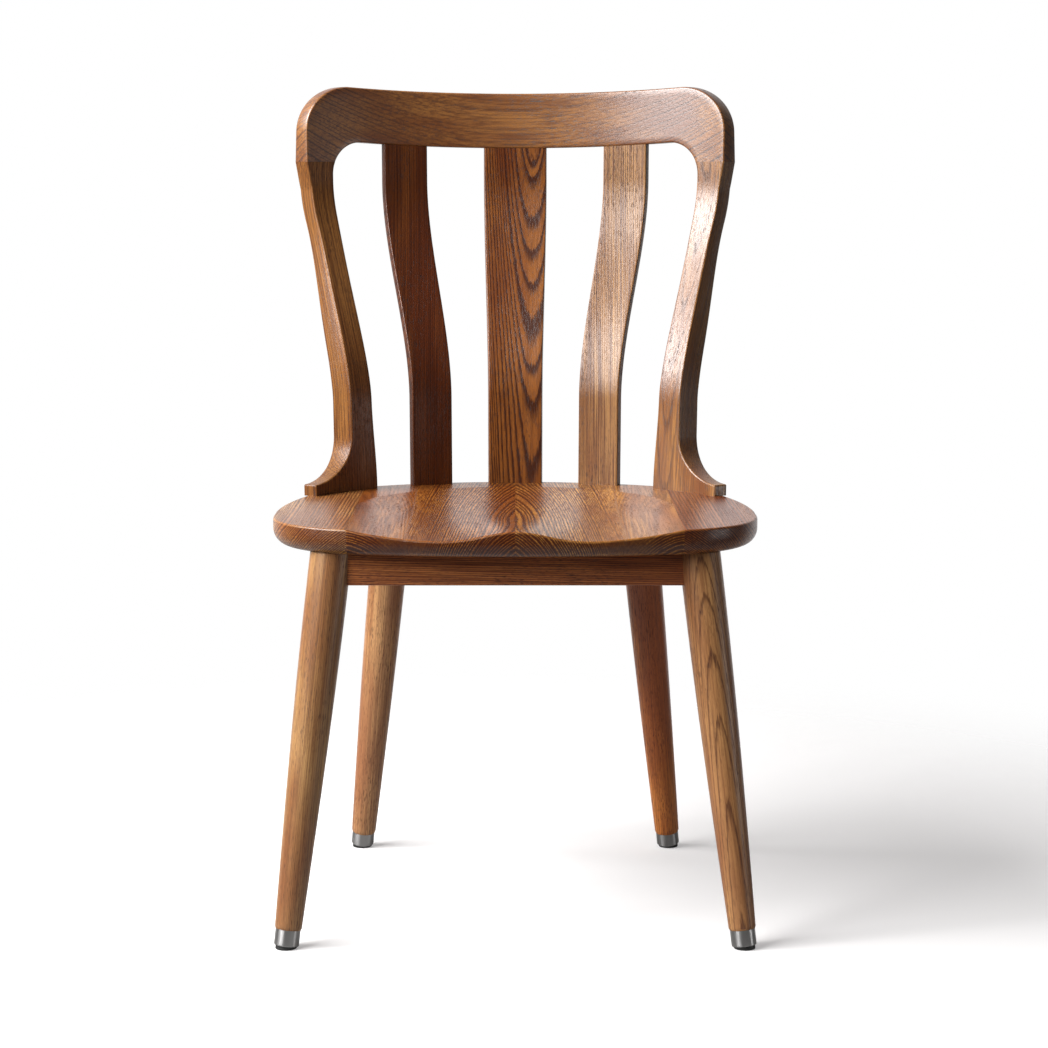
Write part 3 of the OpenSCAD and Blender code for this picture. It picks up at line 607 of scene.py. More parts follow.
# blanks are drawn flat, as angle, depth and height, and this tree bends them round the shell
def makeShellBend():
    tree = bpy.data.node_groups.new("shellBend", "GeometryNodeTree")
    tree.is_modifier = True
    socketIn(tree, "Blank", "NodeSocketGeometry")
    for name in ("Axis Y", "Base Radius", "Lean", "Seat Height", "Sweep", "Sweep Start", "Sweep Height"):
        socketIn(tree, name, "NodeSocketFloat", 0.0)
    socketIn(tree, "Finish", "NodeSocketMaterial")
    socketOut(tree, "Bent Piece", "NodeSocketGeometry")
    given = addNode(tree, "NodeGroupInput").outputs
    position = addNode(tree, "GeometryNodeInputPosition")
    parts = addNode(tree, "ShaderNodeSeparateXYZ")
    tree.links.new(position.outputs[0], parts.inputs[0])
    angle, depth, z = parts.outputs
    sweepEnd = plus(tree, given["Sweep Start"], given["Sweep Height"])
    swept = remap(tree, z, given["Sweep Start"], sweepEnd, 0.0, given["Sweep"])
    leaning = times(tree, given["Lean"], minus(tree, z, given["Seat Height"]))
    radius = plus(tree, plus(tree, given["Base Radius"], leaning), plus(tree, swept, depth))
    bent = addNode(tree, "ShaderNodeCombineXYZ")
    tree.links.new(times(tree, radius, calc(tree, "SINE", angle)), bent.inputs["X"])
    deep = times(tree, radius, calc(tree, "COSINE", angle))
    tree.links.new(plus(tree, given["Axis Y"], deep), bent.inputs["Y"])
    tree.links.new(z, bent.inputs["Z"])
    move = addNode(tree, "GeometryNodeSetPosition")
    tree.links.new(given["Blank"], move.inputs["Geometry"])
    tree.links.new(bent.outputs[0], move.inputs["Position"])
    closeTree(tree, move.outputs["Geometry"], given["Finish"], "Bent Piece")
    return tree


# runs a geometry tree on a piece and keeps the result as a plain mesh
def runTree(thing, tree, values):
    modifier = thing.modifiers.new(tree.name, "NODES")
    modifier.node_group = tree
    sockets = [s for s in tree.interface.items_tree if s.item_type == "SOCKET" and s.in_out == "INPUT"]
    keys = {s.name: s.identifier for s in sockets}
    for name, value in values.items():
        modifier[keys[name]] = value
    bpy.context.view_layer.update()
    solved = bpy.data.meshes.new_from_object(thing.evaluated_get(bpy.context.evaluated_depsgraph_get()))
    thing.modifiers.remove(modifier)
    old = thing.data
    thing.data = solved
    bpy.data.meshes.remove(old)
    solved.name = thing.name


shellBend = makeShellBend()


# moves a line of (angle, height) points sideways along the shell, to the side where the other line lies
def insetLine(line, distance, toward):
    radius = shellRadius(line[:, 1])
    flat = np.stack([line[:, 0] * radius, line[:, 1]], -1)
    run = np.gradient(flat, axis=0)
    run /= np.maximum(1e-9, np.linalg.norm(run, axis=1))[:, None]
    normal = np.stack([run[:, 1], -run[:, 0]], -1)
    aim = np.stack([(toward[:, 0] - line[:, 0]) * radius, toward[:, 1] - line[:, 1]], -1)
    normal *= np.sign((normal * aim).sum(1))[:, None]
    moved = flat + normal * distance
    return np.stack([moved[:, 0] / radius, moved[:, 1]], -1)


# layers of a blank between two lines, with rounded arrises at the front and the back
def blankLayers(outer, inner, thick, arris, rows):
    share = (np.arange(rows + 1) / rows)[:, None]

    def layer(turn, atBack):
        inset, rise = arris * (1 - sin(radians(turn))), arris * (1 - cos(radians(turn)))
        o, n = insetLine(outer, inset, inner), insetLine(inner, inset, outer)
        for line, source in ((o, outer), (n, inner)):  # the ends stay square
            line[0, 1], line[-1, 1] = source[0, 1], source[-1, 1]
        angle = blend(o[None, :, 0], n[None, :, 0], share)
        z = blend(o[None, :, 1], n[None, :, 1], share)
        depth = thick(z) - rise if atBack else rise + 0 * z
        return np.stack([angle, depth, z], -1)

    turns = [0, 22.5, 45, 67.5, 90]
    return [layer(turn, False) for turn in turns] + [layer(turn, True) for turn in turns[::-1]]


def bentPiece(name, layers, logPlace, material, mirror=False, calm=None):
    points, faces = shellOf(layers)
    rows, cols = layers[0].shape[:2]
    first, rim = rows * cols, 2 * (rows + cols - 2)
    last = len(points) - first
    wornAndSheened = np.zeros(len(points))
    # the rounded arrises are marked for paler colour: wear, and a painted edge highlight
    wornAndSheened[first + rim:first + 2 * rim] = 1.0
    wornAndSheened[last - 2 * rim:last - rim] = 1.0
    place = logPlace(points[:, 0], points[:, 1], points[:, 2]) * mm
    quiet = np.zeros(len(points)) if calm is None else calm(points[:, 0])
    blank = points * np.array([-1 if mirror else 1, mm, mm])
    piece = meshObject(name, blank, faces, material, {"logPlace": place, "arris": wornAndSheened, "calm": quiet})
    outward(piece)
    runTree(piece, shellBend, {
        "Axis Y": back["axisY"] * mm, "Base Radius": back["radius"] * mm, "Lean": back["lean"],
        "Seat Height": seatTop * mm, "Sweep": back["sweep"] * mm, "Sweep Start": back["sweepStart"] * mm,
        "Sweep Height": back["sweepHeight"] * mm, "Finish": material,
    })
    return outward(piece)


# the crest rail; angles are in degrees from the middle
crest = {
    "top": chairTop - 6.8, "low": chairTop - 71.1, "rise": 6.8, "endA": 40.5, "cornerA": 31.5,
    "cornerZ": chairTop - 52, "innerA": 34.8, "innerCornerA": 29.2, "innerCornerZ": back["jointZ"] - 15,
    "level": 0.6, "arc": 0.77, "arris": 2.2, "steps": 110, "rows": 10,
    "heartBehind": 20, "heartBelow": 340, "calmMost": 0.8, "calmFrom": 0.3, "calmOver": 0.3,
}
crest["innerH"] = crest["low"] + crest["rise"] - crest["innerCornerZ"]


def crestUnder(a):
    return crest["low"] + crest["rise"] * (a / crest["innerCornerA"]) ** 2


def crestOuter(u):
    if u <= crest["level"]:
        a = crest["cornerA"] * u / crest["level"]
        return a, crest["top"] + crest["rise"] * (a / crest["cornerA"]) ** 2
    w = (u - crest["level"]) / (1 - crest["level"])
    if w < crest["arc"]:
        f = radians(90 * (1 - w / crest["arc"]))
        return blend(crest["cornerA"], crest["endA"], cos(f)), blend(crest["cornerZ"], chairTop, sin(f))
    return crest["endA"], blend(crest["cornerZ"], back["jointZ"], (w - crest["arc"]) / (1 - crest["arc"]))


def crestInner(u):
    if u <= crest["level"]:
        a = crest["innerCornerA"] * u / crest["level"]
        return a, crestUnder(a)
    w = (u - crest["level"]) / (1 - crest["level"])
    stop = np.arcsin((back["jointZ"] - crest["innerCornerZ"]) / crest["innerH"])
    f = blend(pi / 2, stop, w)
    a = blend(crest["innerCornerA"], crest["innerA"], cos(f))
    return a, crest["innerCornerZ"] + crest["innerH"] * sin(f)


def crestThick(z):
    return blend(back["crestT"], back["crestTopT"], (z - back["jointZ"]) / (chairTop - back["jointZ"]))


def crestLog(angle, depth, z):
    p = onShell(angle, depth, z)
    heartY, heartZ = back["axisY"] + crest["heartBehind"], crest["low"] - crest["heartBelow"]
    return np.stack([p[:, 1] - heartY, p[:, 2] - heartZ, p[:, 0]], -1)


def crestCalm(angle):
    return crest["calmMost"] * (1 - ease((abs(angle) - crest["calmFrom"]) / crest["calmOver"]))


def lineOf(f, steps):
    half = np.array([f(u) for u in np.arange(steps + 1) / steps])
    left = half[:0:-1] * np.array([-1, 1])
    line = np.concatenate([left, half])
    line[:, 0] = np.radians(line[:, 0])
    return line


# a stile: its foot flares out at the seat's edge, and it narrows to a neck under the crest
stile = {
    "toeH": 12.8, "flareTop": seatTop + 62, "toeA": 59.1, "waistA": 45.4, "neckA": 39.6,
    "neckZ": back["jointZ"] - 32, "footInA": 37.3, "waistInA": 38.6, "arris": 1.9, "toeRound": 1.8,
    "footInH": 110, "turnInZ": seatTop + 120, "turnInH": 190, "thinZ": seatTop + 160, "thinH": 140,
    "narrowUp": 48, "narrowH": 190, "fanTop": seatTop + 130, "rows": 10,
    "toeSteps": 8, "roundSteps": 7, "flareSteps": 46, "upperSteps": 110, "logSteps": 60,
}
stile["flareH"] = stile["flareTop"] - seatTop - stile["toeH"]

# the stiles' hearts: across from the middle, behind the front and how that changes upward, and place along
stileHearts = {
    "left": {"across": -70.0, "behind": 25, "tilt": 0.02, "along": 0, "specular": 0.4},
    "right": {"across": -2.0, "behind": 34, "tilt": -0.035, "along": 900, "specular": 0.9},
}


def stileInner(z):
    low = blend(stile["footInA"], stile["waistInA"], ease((z - seatTop) / stile["footInH"]))
    high = blend(stile["waistInA"], crest["innerA"], ease((z - stile["turnInZ"]) / stile["turnInH"]))
    edge = np.where(z < stile["turnInZ"], low, high)
    bow = np.sqrt(np.clip(1 - ((z - crest["innerCornerZ"]) / crest["innerH"]) ** 2, 0, 1))
    return np.where(z < crest["innerCornerZ"], edge, blend(crest["innerCornerA"], crest["innerA"], bow))


def stileOuter(z):
    narrowed = ease((z - stile["flareTop"] - stile["narrowUp"]) / stile["narrowH"])
    return blend(stile["waistA"], stile["neckA"], narrowed)


def stileThick(z):
    flare = np.sin(pi / 2 * np.clip((z - seatTop - stile["toeH"]) / stile["flareH"], 0, 1))
    low = blend(back["footT"], back["stileT"], flare)
    high = blend(back["stileT"], back["crestT"], ease((z - stile["thinZ"]) / stile["thinH"]))
    return np.where(z < stile["flareTop"], low, high)


# the outer edge from the toe to the joint under the crest, in degrees and millimetres
def stileEdge():
    toeTop = seatTop + stile["toeH"]
    r = stile["toeRound"]
    ra = np.degrees(r / shellRadius(toeTop))
    edge = [(stile["toeA"], z) for z in np.linspace(seatTop, toeTop - r, stile["toeSteps"])]
    for f in np.linspace(0.2, 1.4, stile["roundSteps"]):
        edge.append((stile["toeA"] - ra * (1 - cos(f)), toeTop - r + r * sin(f)))
    for t in np.linspace(1, 0, stile["flareSteps"])[1:]:
        f = t * pi / 2  # a quarter ellipse from the toe to the waist
        z = stile["flareTop"] - stile["flareH"] * sin(f)
        a = stile["waistA"] + (stile["toeA"] - stile["waistA"]) * (1 - cos(f))
        if a < stile["toeA"] - ra:
            edge.append((a, z))
    levels = np.linspace(stile["flareTop"], back["jointZ"], stile["upperSteps"])[1:]
    neck = blend(stile["neckA"], crest["endA"], (levels - stile["neckZ"]) / (back["jointZ"] - stile["neckZ"]))
    upper = np.where(levels < stile["neckZ"], stileOuter(levels), neck)
    return np.array(edge + list(zip(upper, levels)))


# inner points fan out opposite the foot, then run level with the outer ones
def stileLines():
    outer = stileEdge()
    arc = np.stack([np.radians(outer[:, 0]) * shellRadius(outer[:, 1]), outer[:, 1]], -1)
    length = np.concatenate([[0], np.cumsum(np.linalg.norm(np.diff(arc, axis=0), axis=1))])
    k = int(np.argmax(outer[:, 1] > stile["fanTop"]))
    innerZ = outer[:, 1].copy()
    innerZ[:k] = seatTop + (outer[k, 1] - seatTop) * length[:k] / length[k]
    inner = np.stack([stileInner(innerZ), innerZ], -1)
    outer[:, 0], inner[:, 0] = np.radians(outer[:, 0]), np.radians(inner[:, 0])
    return outer, inner


# the stile's grain runs along it, so a place is measured from the middle of its upper part
def stileLog(heart):
    levels = np.linspace(seatTop, back["jointZ"], stile["logSteps"])
    middle = np.radians((stileOuter(levels) + stileInner(levels)) / 2) * shellRadius(levels)

    def place(angle, depth, z):
        across = angle * shellRadius(z) - np.interp(z, levels, middle) - heart["across"]
        behind = depth + (heart["behind"] + heart["tilt"] * (z - seatTop))
        return np.stack([across, behind, z - seatTop + heart["along"]], -1)
    return place


# the slats: they widen with the shell
slats = {
    "centreWidth": 61.3, "centreGrowth": 0.5, "sideWidth": 48.0, "sideGrowth": 0.27,
    "sideInA": radians(16.3), "arris": 1.3, "cols": 120, "rows": 12,
}

# the slats' hearts: across from the middle of the chair, behind the front, and place along
slatHearts = {
    "centre": {"across": 21.0, "behind": 8, "deeper": 42, "within": 220, "along": 300},
    "left": {"across": -130.0, "behind": 12, "along": 1500, "specular": 0.4},
    "right": {"across": -130.0, "behind": 12, "along": 2600, "specular": 0.5},
}


def slatThick(z):
    return back["slatT"] + 0 * z


def slatLines(centre):
    share = np.arange(slats["cols"] + 1) / slats["cols"]
    flat = blend(seatTop, crest["low"], share)
    grow = shellRadius(flat) / back["radius"]
    if centre:
        half = slats["centreWidth"] * grow ** slats["centreGrowth"] / shellRadius(flat) / 2
        left, right = -half, half
    else:
        left = np.full_like(flat, slats["sideInA"])
        right = left + slats["sideWidth"] * grow ** slats["sideGrowth"] / shellRadius(flat)
    lines = []
    for a in (left, right):
        top = crestUnder(np.degrees(a))
        lines.append(np.stack([a, blend(seatTop, top, share)], -1))
    return lines


# the centre slat's heart dives away below the top, which draws its figure out into long peaks
def slatLog(heart):
    def place(angle, depth, z):
        behind = heart["behind"]
        if "deeper" in heart:
            behind = behind + heart["deeper"] * (1 - np.exp(-(crest["low"] - z) / heart["within"]))
        across = angle * shellRadius(z) - heart["across"]
        return np.stack([across, depth + behind, z - seatTop + heart["along"]], -1)
    return place


print("stage 1: shapes and groups ready")

# the finish on each kind of piece
seatFinish = vary(lacquer, crowding=1.6, contrast=1.0, pores=0.5, streaks=1.0, length=0.7, gloss=0.25)
outerFinish = vary(seatFinish, crowding=1.0, ring=0.0020, contrast=0.8)
frameFinish = vary(lacquer, contrast=0.4, pores=1.0, streaks=0.75)
crestFinish = vary(frameFinish, contrast=1.0, length=0.42, ring=0.0042, pores=0.9,
                   specular=1.0, ior=1.55, relief=0.2)
stileFinish = vary(frameFinish, contrast=0.7, length=0.4, wander=0.004)
slatFinish = vary(lacquer, contrast=0.5, pores=1.0, streaks=1.0, ring=0.0021)
figuredFinish = vary(lacquer, contrast=0.9, length=0.6, pores=0.8, streaks=0.5, ring=0.0018, crowding=1.6)
legFinish = vary(lacquer, contrast=0.3, pores=0.9, streaks=0.6, ring=0.0016)
legFigured = vary(legFinish, contrast=0.95, length=0.36, ring=0.0017, wander=0.0028)
railFinish = vary(lacquer, contrast=0.6, pores=1.0, streaks=0.8, ring=0.0021)

# each piece's stain, with painted light and shade: the shares also lighten or darken whole pieces to stand in
# for how the light falls on them
stainWithPaintedLight = {
    "seat_mid_left": (0.92, 0.71, 0.35),
    "seat_mid_right": (1.17, 1.12, 0.68),
    "seat_outer_left": (1.2, 1.3, 1.15),
    "seat_outer_right": (0.95, 0.71, 0.51),
    "crest": (0.68, 0.59, 0.42),
    "stile_left": (0.57, 0.51, 0.39),
    "stile_right": (0.74, 0.72, 0.54),
    "slat_centre": (0.56, 0.4, 0.22),
    # the side slats are one wood: the left is painted darker as shade, the right paler and bluer as a painted
    # sheen
    "slat_left": (0.37, 0.225, 0.12),
    "slat_right": (0.82, 0.88, 0.86),
    "front_left": (1.14, 1.38, 1.65),
    "front_right": (1.08, 1.15, 1.3),
    "rear_left": (1.48, 1.75, 2.2),
    "rear_right": (1.8, 1.36, 0.9),
    "rail": (1.3, 0.95, 0.84),
}


def keep(piece, slot, *nodes):
    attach(piece, "root")
    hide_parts(*nodes)


# the middle boards' hearts lie past the centre joint, so their rings meet there as nested peaks
for side, label in bothSides:
    midWood = woodMaterial("seatWood_mid_" + label, stainedWithPaintedLight(seatFinish, stainWithPaintedLight["seat_mid_" + label]))
    outWood = woodMaterial("seatWood_outer_" + label, stainedWithPaintedLight(outerFinish, stainWithPaintedLight["seat_outer_" + label]))
    keep(seatBoard("seat_mid_" + label, side, False, midWood), "seat_wood", "seat_board_mid_" + label)
    keep(seatBoard("seat_outer_" + label, side, True, outWood), "seat_wood", "seat_board_" + label)
print("stage 2: seat boards")


def makeCrest():
    wood = woodMaterial("crestWood", stainedWithPaintedLight(crestFinish, stainWithPaintedLight["crest"]))
    outerLine, innerLine = lineOf(crestOuter, crest["steps"]), lineOf(crestInner, crest["steps"])
    layers = blankLayers(outerLine, innerLine, crestThick, crest["arris"], crest["rows"])
    return bentPiece("crest", layers, crestLog, wood, calm=crestCalm)


def makeStile(side, label):
    heart = stileHearts[label]
    outerLine, innerLine = stileLines()
    finish = vary(stileFinish, specular=heart["specular"])
    wood = woodMaterial("stileWood_" + label, stainedWithPaintedLight(finish, stainWithPaintedLight["stile_" + label]))
    layers = blankLayers(outerLine, innerLine, stileThick, stile["arris"], stile["rows"])
    return bentPiece("stile_bent_" + label, layers, stileLog(heart), wood, mirror=side < 0)


def makeSlat(label, wood, mirror=False):
    left, right = slatLines(label == "centre")
    layers = blankLayers(right, left, slatThick, slats["arris"], slats["rows"])
    return bentPiece("slat_bent_" + label, layers, slatLog(slatHearts[label]), wood, mirror=mirror)


keep(makeCrest(), "frame_wood", "crest_rail")
for side, label in bothSides:
    keep(makeStile(side, label), "frame_wood", "stile_" + label)
figuredWood = woodMaterial("centreSlatWood", stainedWithPaintedLight(figuredFinish, stainWithPaintedLight["slat_centre"]))
keep(makeSlat("centre", figuredWood), "frame_wood", "slat_centre")
for side, label in bothSides:
    finish = vary(slatFinish, specular=slatHearts[label]["specular"])
    plainWood = woodMaterial("sideSlatWood_" + label, stainedWithPaintedLight(finish, stainWithPaintedLight["slat_" + label]))
    keep(makeSlat(label, plainWood, mirror=side < 0), "frame_wood", "slat_" + label)
print("stage 3: back")

# the legs, in millimetres; fill is the share of the length over which the turning swells
legs = {
    "endR": 14.1, "topR": 21.75, "chamfer": 0.7, "rings": 200, "sides": 64, "sharpTurn": 50,
    "front": {"foot": (239.4, 12.0), "head": (191.6, 60.0), "glide": 2.6, "ferrule": 17.5, "fill": 0.95},
    "rear": {"foot": (183.2, 437.0), "head": (140.6, 365.0), "glide": 4.2, "ferrule": 15.5, "fill": 1.1},
}

# the heart of a leg's log lies beside it: which way, how far off, and how it closes in on the way up;
# the rounds show long arches where the rings run level with the surface
legHearts = {
    "plain": {"toward": (1.0, 0.25), "away": 120, "closing": -0.01},
    "figured": {"toward": (0.03, 1.0), "away": 46, "closing": 0.046},
}


# a quarter sine from the low end, full once the fill is used up
def swellOf(tree, share, fill):
    def quarterSine(part):
        used = calc(tree, "MINIMUM", calc(tree, "DIVIDE", part, fill), 1.0)
        return calc(tree, "SINE", times(tree, used, pi / 2))
    return calc(tree, "DIVIDE", quarterSine(share), quarterSine(1.0))


# slides the top ring along the leg so that it lies level under the seat
def levelTop(tree, skin, given):
    along = addNode(tree, "GeometryNodeInputNamedAttribute", data_type="FLOAT")
    along.inputs["Name"].default_value = "along"
    atTop = calc(tree, "GREATER_THAN", along.outputs["Attribute"], 0.9999)
    here = addNode(tree, "ShaderNodeSeparateXYZ")
    tree.links.new(addNode(tree, "GeometryNodeInputPosition").outputs[0], here.inputs[0])
    run = vectorCalc(tree, "NORMALIZE", vectorCalc(tree, "SUBTRACT", given["High End"], given["Low End"]))
    runParts = addNode(tree, "ShaderNodeSeparateXYZ")
    tree.links.new(run, runParts.inputs[0])
    slide = calc(tree, "DIVIDE", minus(tree, given["Level Top"], here.outputs["Z"]), runParts.outputs["Z"])
    level = addNode(tree, "GeometryNodeSetPosition")
    tree.links.new(skin, level.inputs["Geometry"])
    tree.links.new(atTop, level.inputs["Selection"])
    tree.links.new(vectorCalc(tree, "SCALE", run, slide), level.inputs["Offset"])
    return level.outputs[0]


# one tree turns all four legs
def makeTurnedLeg():
    tree = bpy.data.node_groups.new("turnedLeg", "GeometryNodeTree")
    tree.is_modifier = True
    socketIn(tree, "Geometry", "NodeSocketGeometry")
    for name in ("Low End", "High End"):
        socketIn(tree, name, "NodeSocketVector")
    for name, value in (("Low Radius", legs["endR"] * mm), ("Top Radius", legs["topR"] * mm),
                        ("Swell Share", 1.0), ("Level Top", seatUnder * mm)):
        socketIn(tree, name, "NodeSocketFloat", value)
    socketIn(tree, "Rings", "NodeSocketInt", legs["rings"])
    socketIn(tree, "Sides", "NodeSocketInt", legs["sides"])
    socketIn(tree, "Finish", "NodeSocketMaterial")
    socketOut(tree, "Leg", "NodeSocketGeometry")
    given = addNode(tree, "NodeGroupInput").outputs
    line = addNode(tree, "GeometryNodeCurvePrimitiveLine")
    tree.links.new(given["Low End"], line.inputs["Start"])
    tree.links.new(given["High End"], line.inputs["End"])
    spaced = addNode(tree, "GeometryNodeResampleCurve")
    tree.links.new(line.outputs[0], spaced.inputs["Curve"])
    tree.links.new(given["Rings"], spaced.inputs["Count"])
    share = addNode(tree, "GeometryNodeSplineParameter").outputs["Factor"]
    growth = minus(tree, given["Top Radius"], given["Low Radius"])
    swell = times(tree, growth, swellOf(tree, share, given["Swell Share"]))
    # the turned end is broken with a small chamfer
    cut = times(tree, calc(tree, "LESS_THAN", share, 0.001), -legs["chamfer"] * mm)
    radius = plus(tree, plus(tree, given["Low Radius"], swell), cut)
    mark = addNode(tree, "GeometryNodeStoreNamedAttribute", data_type="FLOAT", domain="POINT")
    mark.inputs["Name"].default_value = "along"
    tree.links.new(spaced.outputs[0], mark.inputs["Geometry"])
    tree.links.new(share, mark.inputs["Value"])
    ring = addNode(tree, "GeometryNodeCurvePrimitiveCircle")
    ring.inputs["Radius"].default_value = 1.0
    tree.links.new(given["Sides"], ring.inputs["Resolution"])
    skin = addNode(tree, "GeometryNodeCurveToMesh")
    tree.links.new(mark.outputs[0], skin.inputs["Curve"])
    tree.links.new(ring.outputs[0], skin.inputs["Profile Curve"])
    skin.inputs["Fill Caps"].default_value = True
    tree.links.new(radius, skin.inputs["Scale"])
    soft = addNode(tree, "GeometryNodeSetShadeSmooth")
    tree.links.new(levelTop(tree, skin.outputs[0], given), soft.inputs["Geometry"])
    closeTree(tree, soft.outputs[0], given["Finish"], "Leg")
    return tree


turnedLeg = makeTurnedLeg()


def legLine(rear, side):
    spec = legs["rear" if rear else "front"]
    foot = Vector((spec["foot"][0] * side, spec["foot"][1] + frontY, 0))
    head = Vector((spec["head"][0] * side, spec["head"][1] + frontY, seatUnder))
    return spec, foot, head, (head - foot).normalized()


def makeLeg(where, rear, side):
    spec, foot, head, axis = legLine(rear, side)
    figured = where == "front_right"
    heart = legHearts["figured" if figured else "plain"]
    toward = Vector((heart["toward"][0] * side, heart["toward"][1], 0)).normalized()
    pith = (foot + toward * heart["away"]) * mm
    along = (axis - toward * heart["closing"]).normalized()
    finish = stainedWithPaintedLight(legFigured if figured else legFinish, stainWithPaintedLight[where])
    wood = woodMaterial("legWood_" + where, finish, pith, along)
    leg = meshObject("leg_turned_" + where, [(0, 0, 0), (0.01, 0, 0), (0, 0.01, 0)], [(0, 1, 2)], wood)
    runTree(leg, turnedLeg, {
        "Low End": (foot + axis * (spec["glide"] + spec["ferrule"])) * mm, "High End": head * mm,
        "Low Radius": legs["endR"] * mm, "Top Radius": legs["topR"] * mm, "Swell Share": spec["fill"],
        "Level Top": seatUnder * mm, "Rings": legs["rings"], "Sides": legs["sides"], "Finish": wood,
    })
    leg.data.set_sharp_from_angle(angle=radians(legs["sharpTurn"]))
    return outward(leg)


# a ferrule is a tube with a floor, which the glide's nail goes through
ferrule = {
    "outerR": 13.15, "wall": 1.1, "rim": 1.6, "holeR": 2.2, "lip": 0.25, "floor": 1.2, "sides": 96,
    "mapLength": 20,
}


# turns a closed profile of (radius, distance) round an axis; every point is off the axis
def lathe(name, origin, axis, profile, material, sides):
    basis = axis.to_track_quat("Z", "Y").to_matrix()
    points, faces = [], []
    n = len(profile)
    for k in range(sides):
        f = 2 * pi * k / sides
        for r, h in profile:
            points.append((origin + basis @ Vector((r * cos(f), r * sin(f), h))) * mm)
    for k in range(sides):
        m = (k + 1) % sides
        for i in range(n):
            j = (i + 1) % n
            faces.append((k * n + i, m * n + i, m * n + j, k * n + j))
    thing = outward(meshObject(name, points, faces, material))
    # the piece's own map: along the axis, and round it
    mesh = thing.data
    layer = mesh.uv_layers.new(name="along")
    for corner, target in zip(mesh.loops, layer.data):
        p = basis.transposed() @ (mesh.vertices[corner.vertex_index].co / mm - origin)
        target.uv = (p.z / ferrule["mapLength"], (atan2(p.y, p.x) + pi) / (2 * pi))
    return thing


def makeFerrule(where, rear, side):
    spec, foot, head, axis = legLine(rear, side)
    r, rim, lip = ferrule["outerR"], ferrule["rim"], ferrule["lip"]
    inner, hole = r - ferrule["wall"], ferrule["holeR"]
    z0, z1 = spec["glide"], spec["glide"] + spec["ferrule"]
    top = z0 + ferrule["floor"]
    profile = [(hole, z0)]
    for a in range(0, 91, 10):
        profile.append((r - rim * (1 - sin(radians(a))), z0 + rim * (1 - cos(radians(a)))))
    profile += [(r, z1 - lip), (r - lip, z1), (inner, z1), (inner, top), (hole, top)]
    return lathe("ferrule_tube_" + where, foot, axis, profile, ferruleSteel, ferrule["sides"])


glide = {"outerR": 11.25, "holeR": 2.2, "round": 0.35, "tipR": 0.001, "sides": 96}


# the pad's top is square to the leg; its foot is level where it stands, with a small round at its edge
def makeGlide(where, rear, side):
    spec, foot, head, axis = legLine(rear, side)
    basis = axis.to_track_quat("Z", "Y").to_matrix()
    outerR, edge, sides = glide["outerR"], glide["round"], glide["sides"]
    upper = ((glide["holeR"], None), (outerR, None))
    rings = upper + ((outerR, edge), (outerR - edge, 0.0), (glide["tipR"], 0.0))
    points, faces = [], []
    for radius, level in rings:
        for k in range(sides):
            f = 2 * pi * k / sides
            p = foot + basis @ Vector((radius * cos(f), radius * sin(f), spec["glide"]))
            if level is not None:
                p = p - axis * ((p.z - level) / axis.z)
            points.append(p * mm)
    for low in range(0, (len(rings) - 1) * sides, sides):
        high = low + sides
        for k in range(sides):
            m = (k + 1) % sides
            faces.append((low + k, low + m, high + m, high + k))
    faces += [tuple(range(sides)), tuple(range(len(points) - sides, len(points)))]
    return outward(meshObject("glide_pad_" + where, points, faces, glidePlastic))


steelLook = {
    "lines": (30.0, 30.0, 4200.0), "lineShade": 0.86, "lineDepth": 0.00012,
    "smears": (160.0, 160.0, 120.0), "smearFrom": -0.04, "smearSpread": 0.1,
}


# the brushing runs round the tube, so it is fine along the height; smear draws the shine out round it
def steelMaterial(name, tint, roughness, brush, smear=0.0):
    material, tree = newMaterial(name)
    place = addNode(tree, "ShaderNodeTexCoord").outputs["Object"]
    lines = noise(tree, place, steelLook["lines"], 1.0).outputs[0]
    smears = noise(tree, place, steelLook["smears"]).outputs[0]
    shader = addNode(tree, "ShaderNodeBsdfPrincipled")
    dark = tuple(c * steelLook["lineShade"] for c in tint) + (1,)
    tree.links.new(mixColour(tree, lines, dark, tint + (1,)), shader.inputs["Base Color"])
    shader.inputs["Metallic"].default_value = 1.0
    if smear:
        shader.inputs["Anisotropic"].default_value = smear
        along = addNode(tree, "ShaderNodeTangent", direction_type="UV_MAP", uv_map="along")
        tree.links.new(along.outputs[0], shader.inputs["Tangent"])
    smeared = plus(tree, roughness + steelLook["smearFrom"], times(tree, smears, steelLook["smearSpread"]))
    tree.links.new(smeared, shader.inputs["Roughness"])
    addBump(tree, shader, lines, brush, steelLook["lineDepth"])
    finishMaterial(tree, shader)
    return material


plasticLook = {
    "spark": (2600.0, 2600.0, 2600.0), "sparkRelief": 0.4, "sparkDepth": 0.00008,
    "scuff": (240.0, 240.0, 240.0), "scuffRange": (0.45, 0.75), "scuffShade": 2.2, "scuffRoughness": 0.15,
}


# a moulded plastic with a fine spark and paler scuffs
def plasticMaterial(name, colour, roughness):
    material, tree = newMaterial(name)
    place = addNode(tree, "ShaderNodeTexCoord").outputs["Object"]
    spark = noise(tree, place, plasticLook["spark"], 2.0, 0.6).outputs[0]
    scuff = noise(tree, place, plasticLook["scuff"], 3.0, 0.6).outputs[0]
    shader = addNode(tree, "ShaderNodeBsdfPrincipled")
    pale = tuple(c * plasticLook["scuffShade"] for c in colour) + (1,)
    shade = mixColour(tree, remap(tree, scuff, *plasticLook["scuffRange"]), colour + (1,), pale)
    tree.links.new(shade, shader.inputs["Base Color"])
    dull = plus(tree, roughness, times(tree, scuff, plasticLook["scuffRoughness"]))
    tree.links.new(dull, shader.inputs["Roughness"])
    addBump(tree, shader, spark, plasticLook["sparkRelief"], plasticLook["sparkDepth"])
    finishMaterial(tree, shader)
    return material


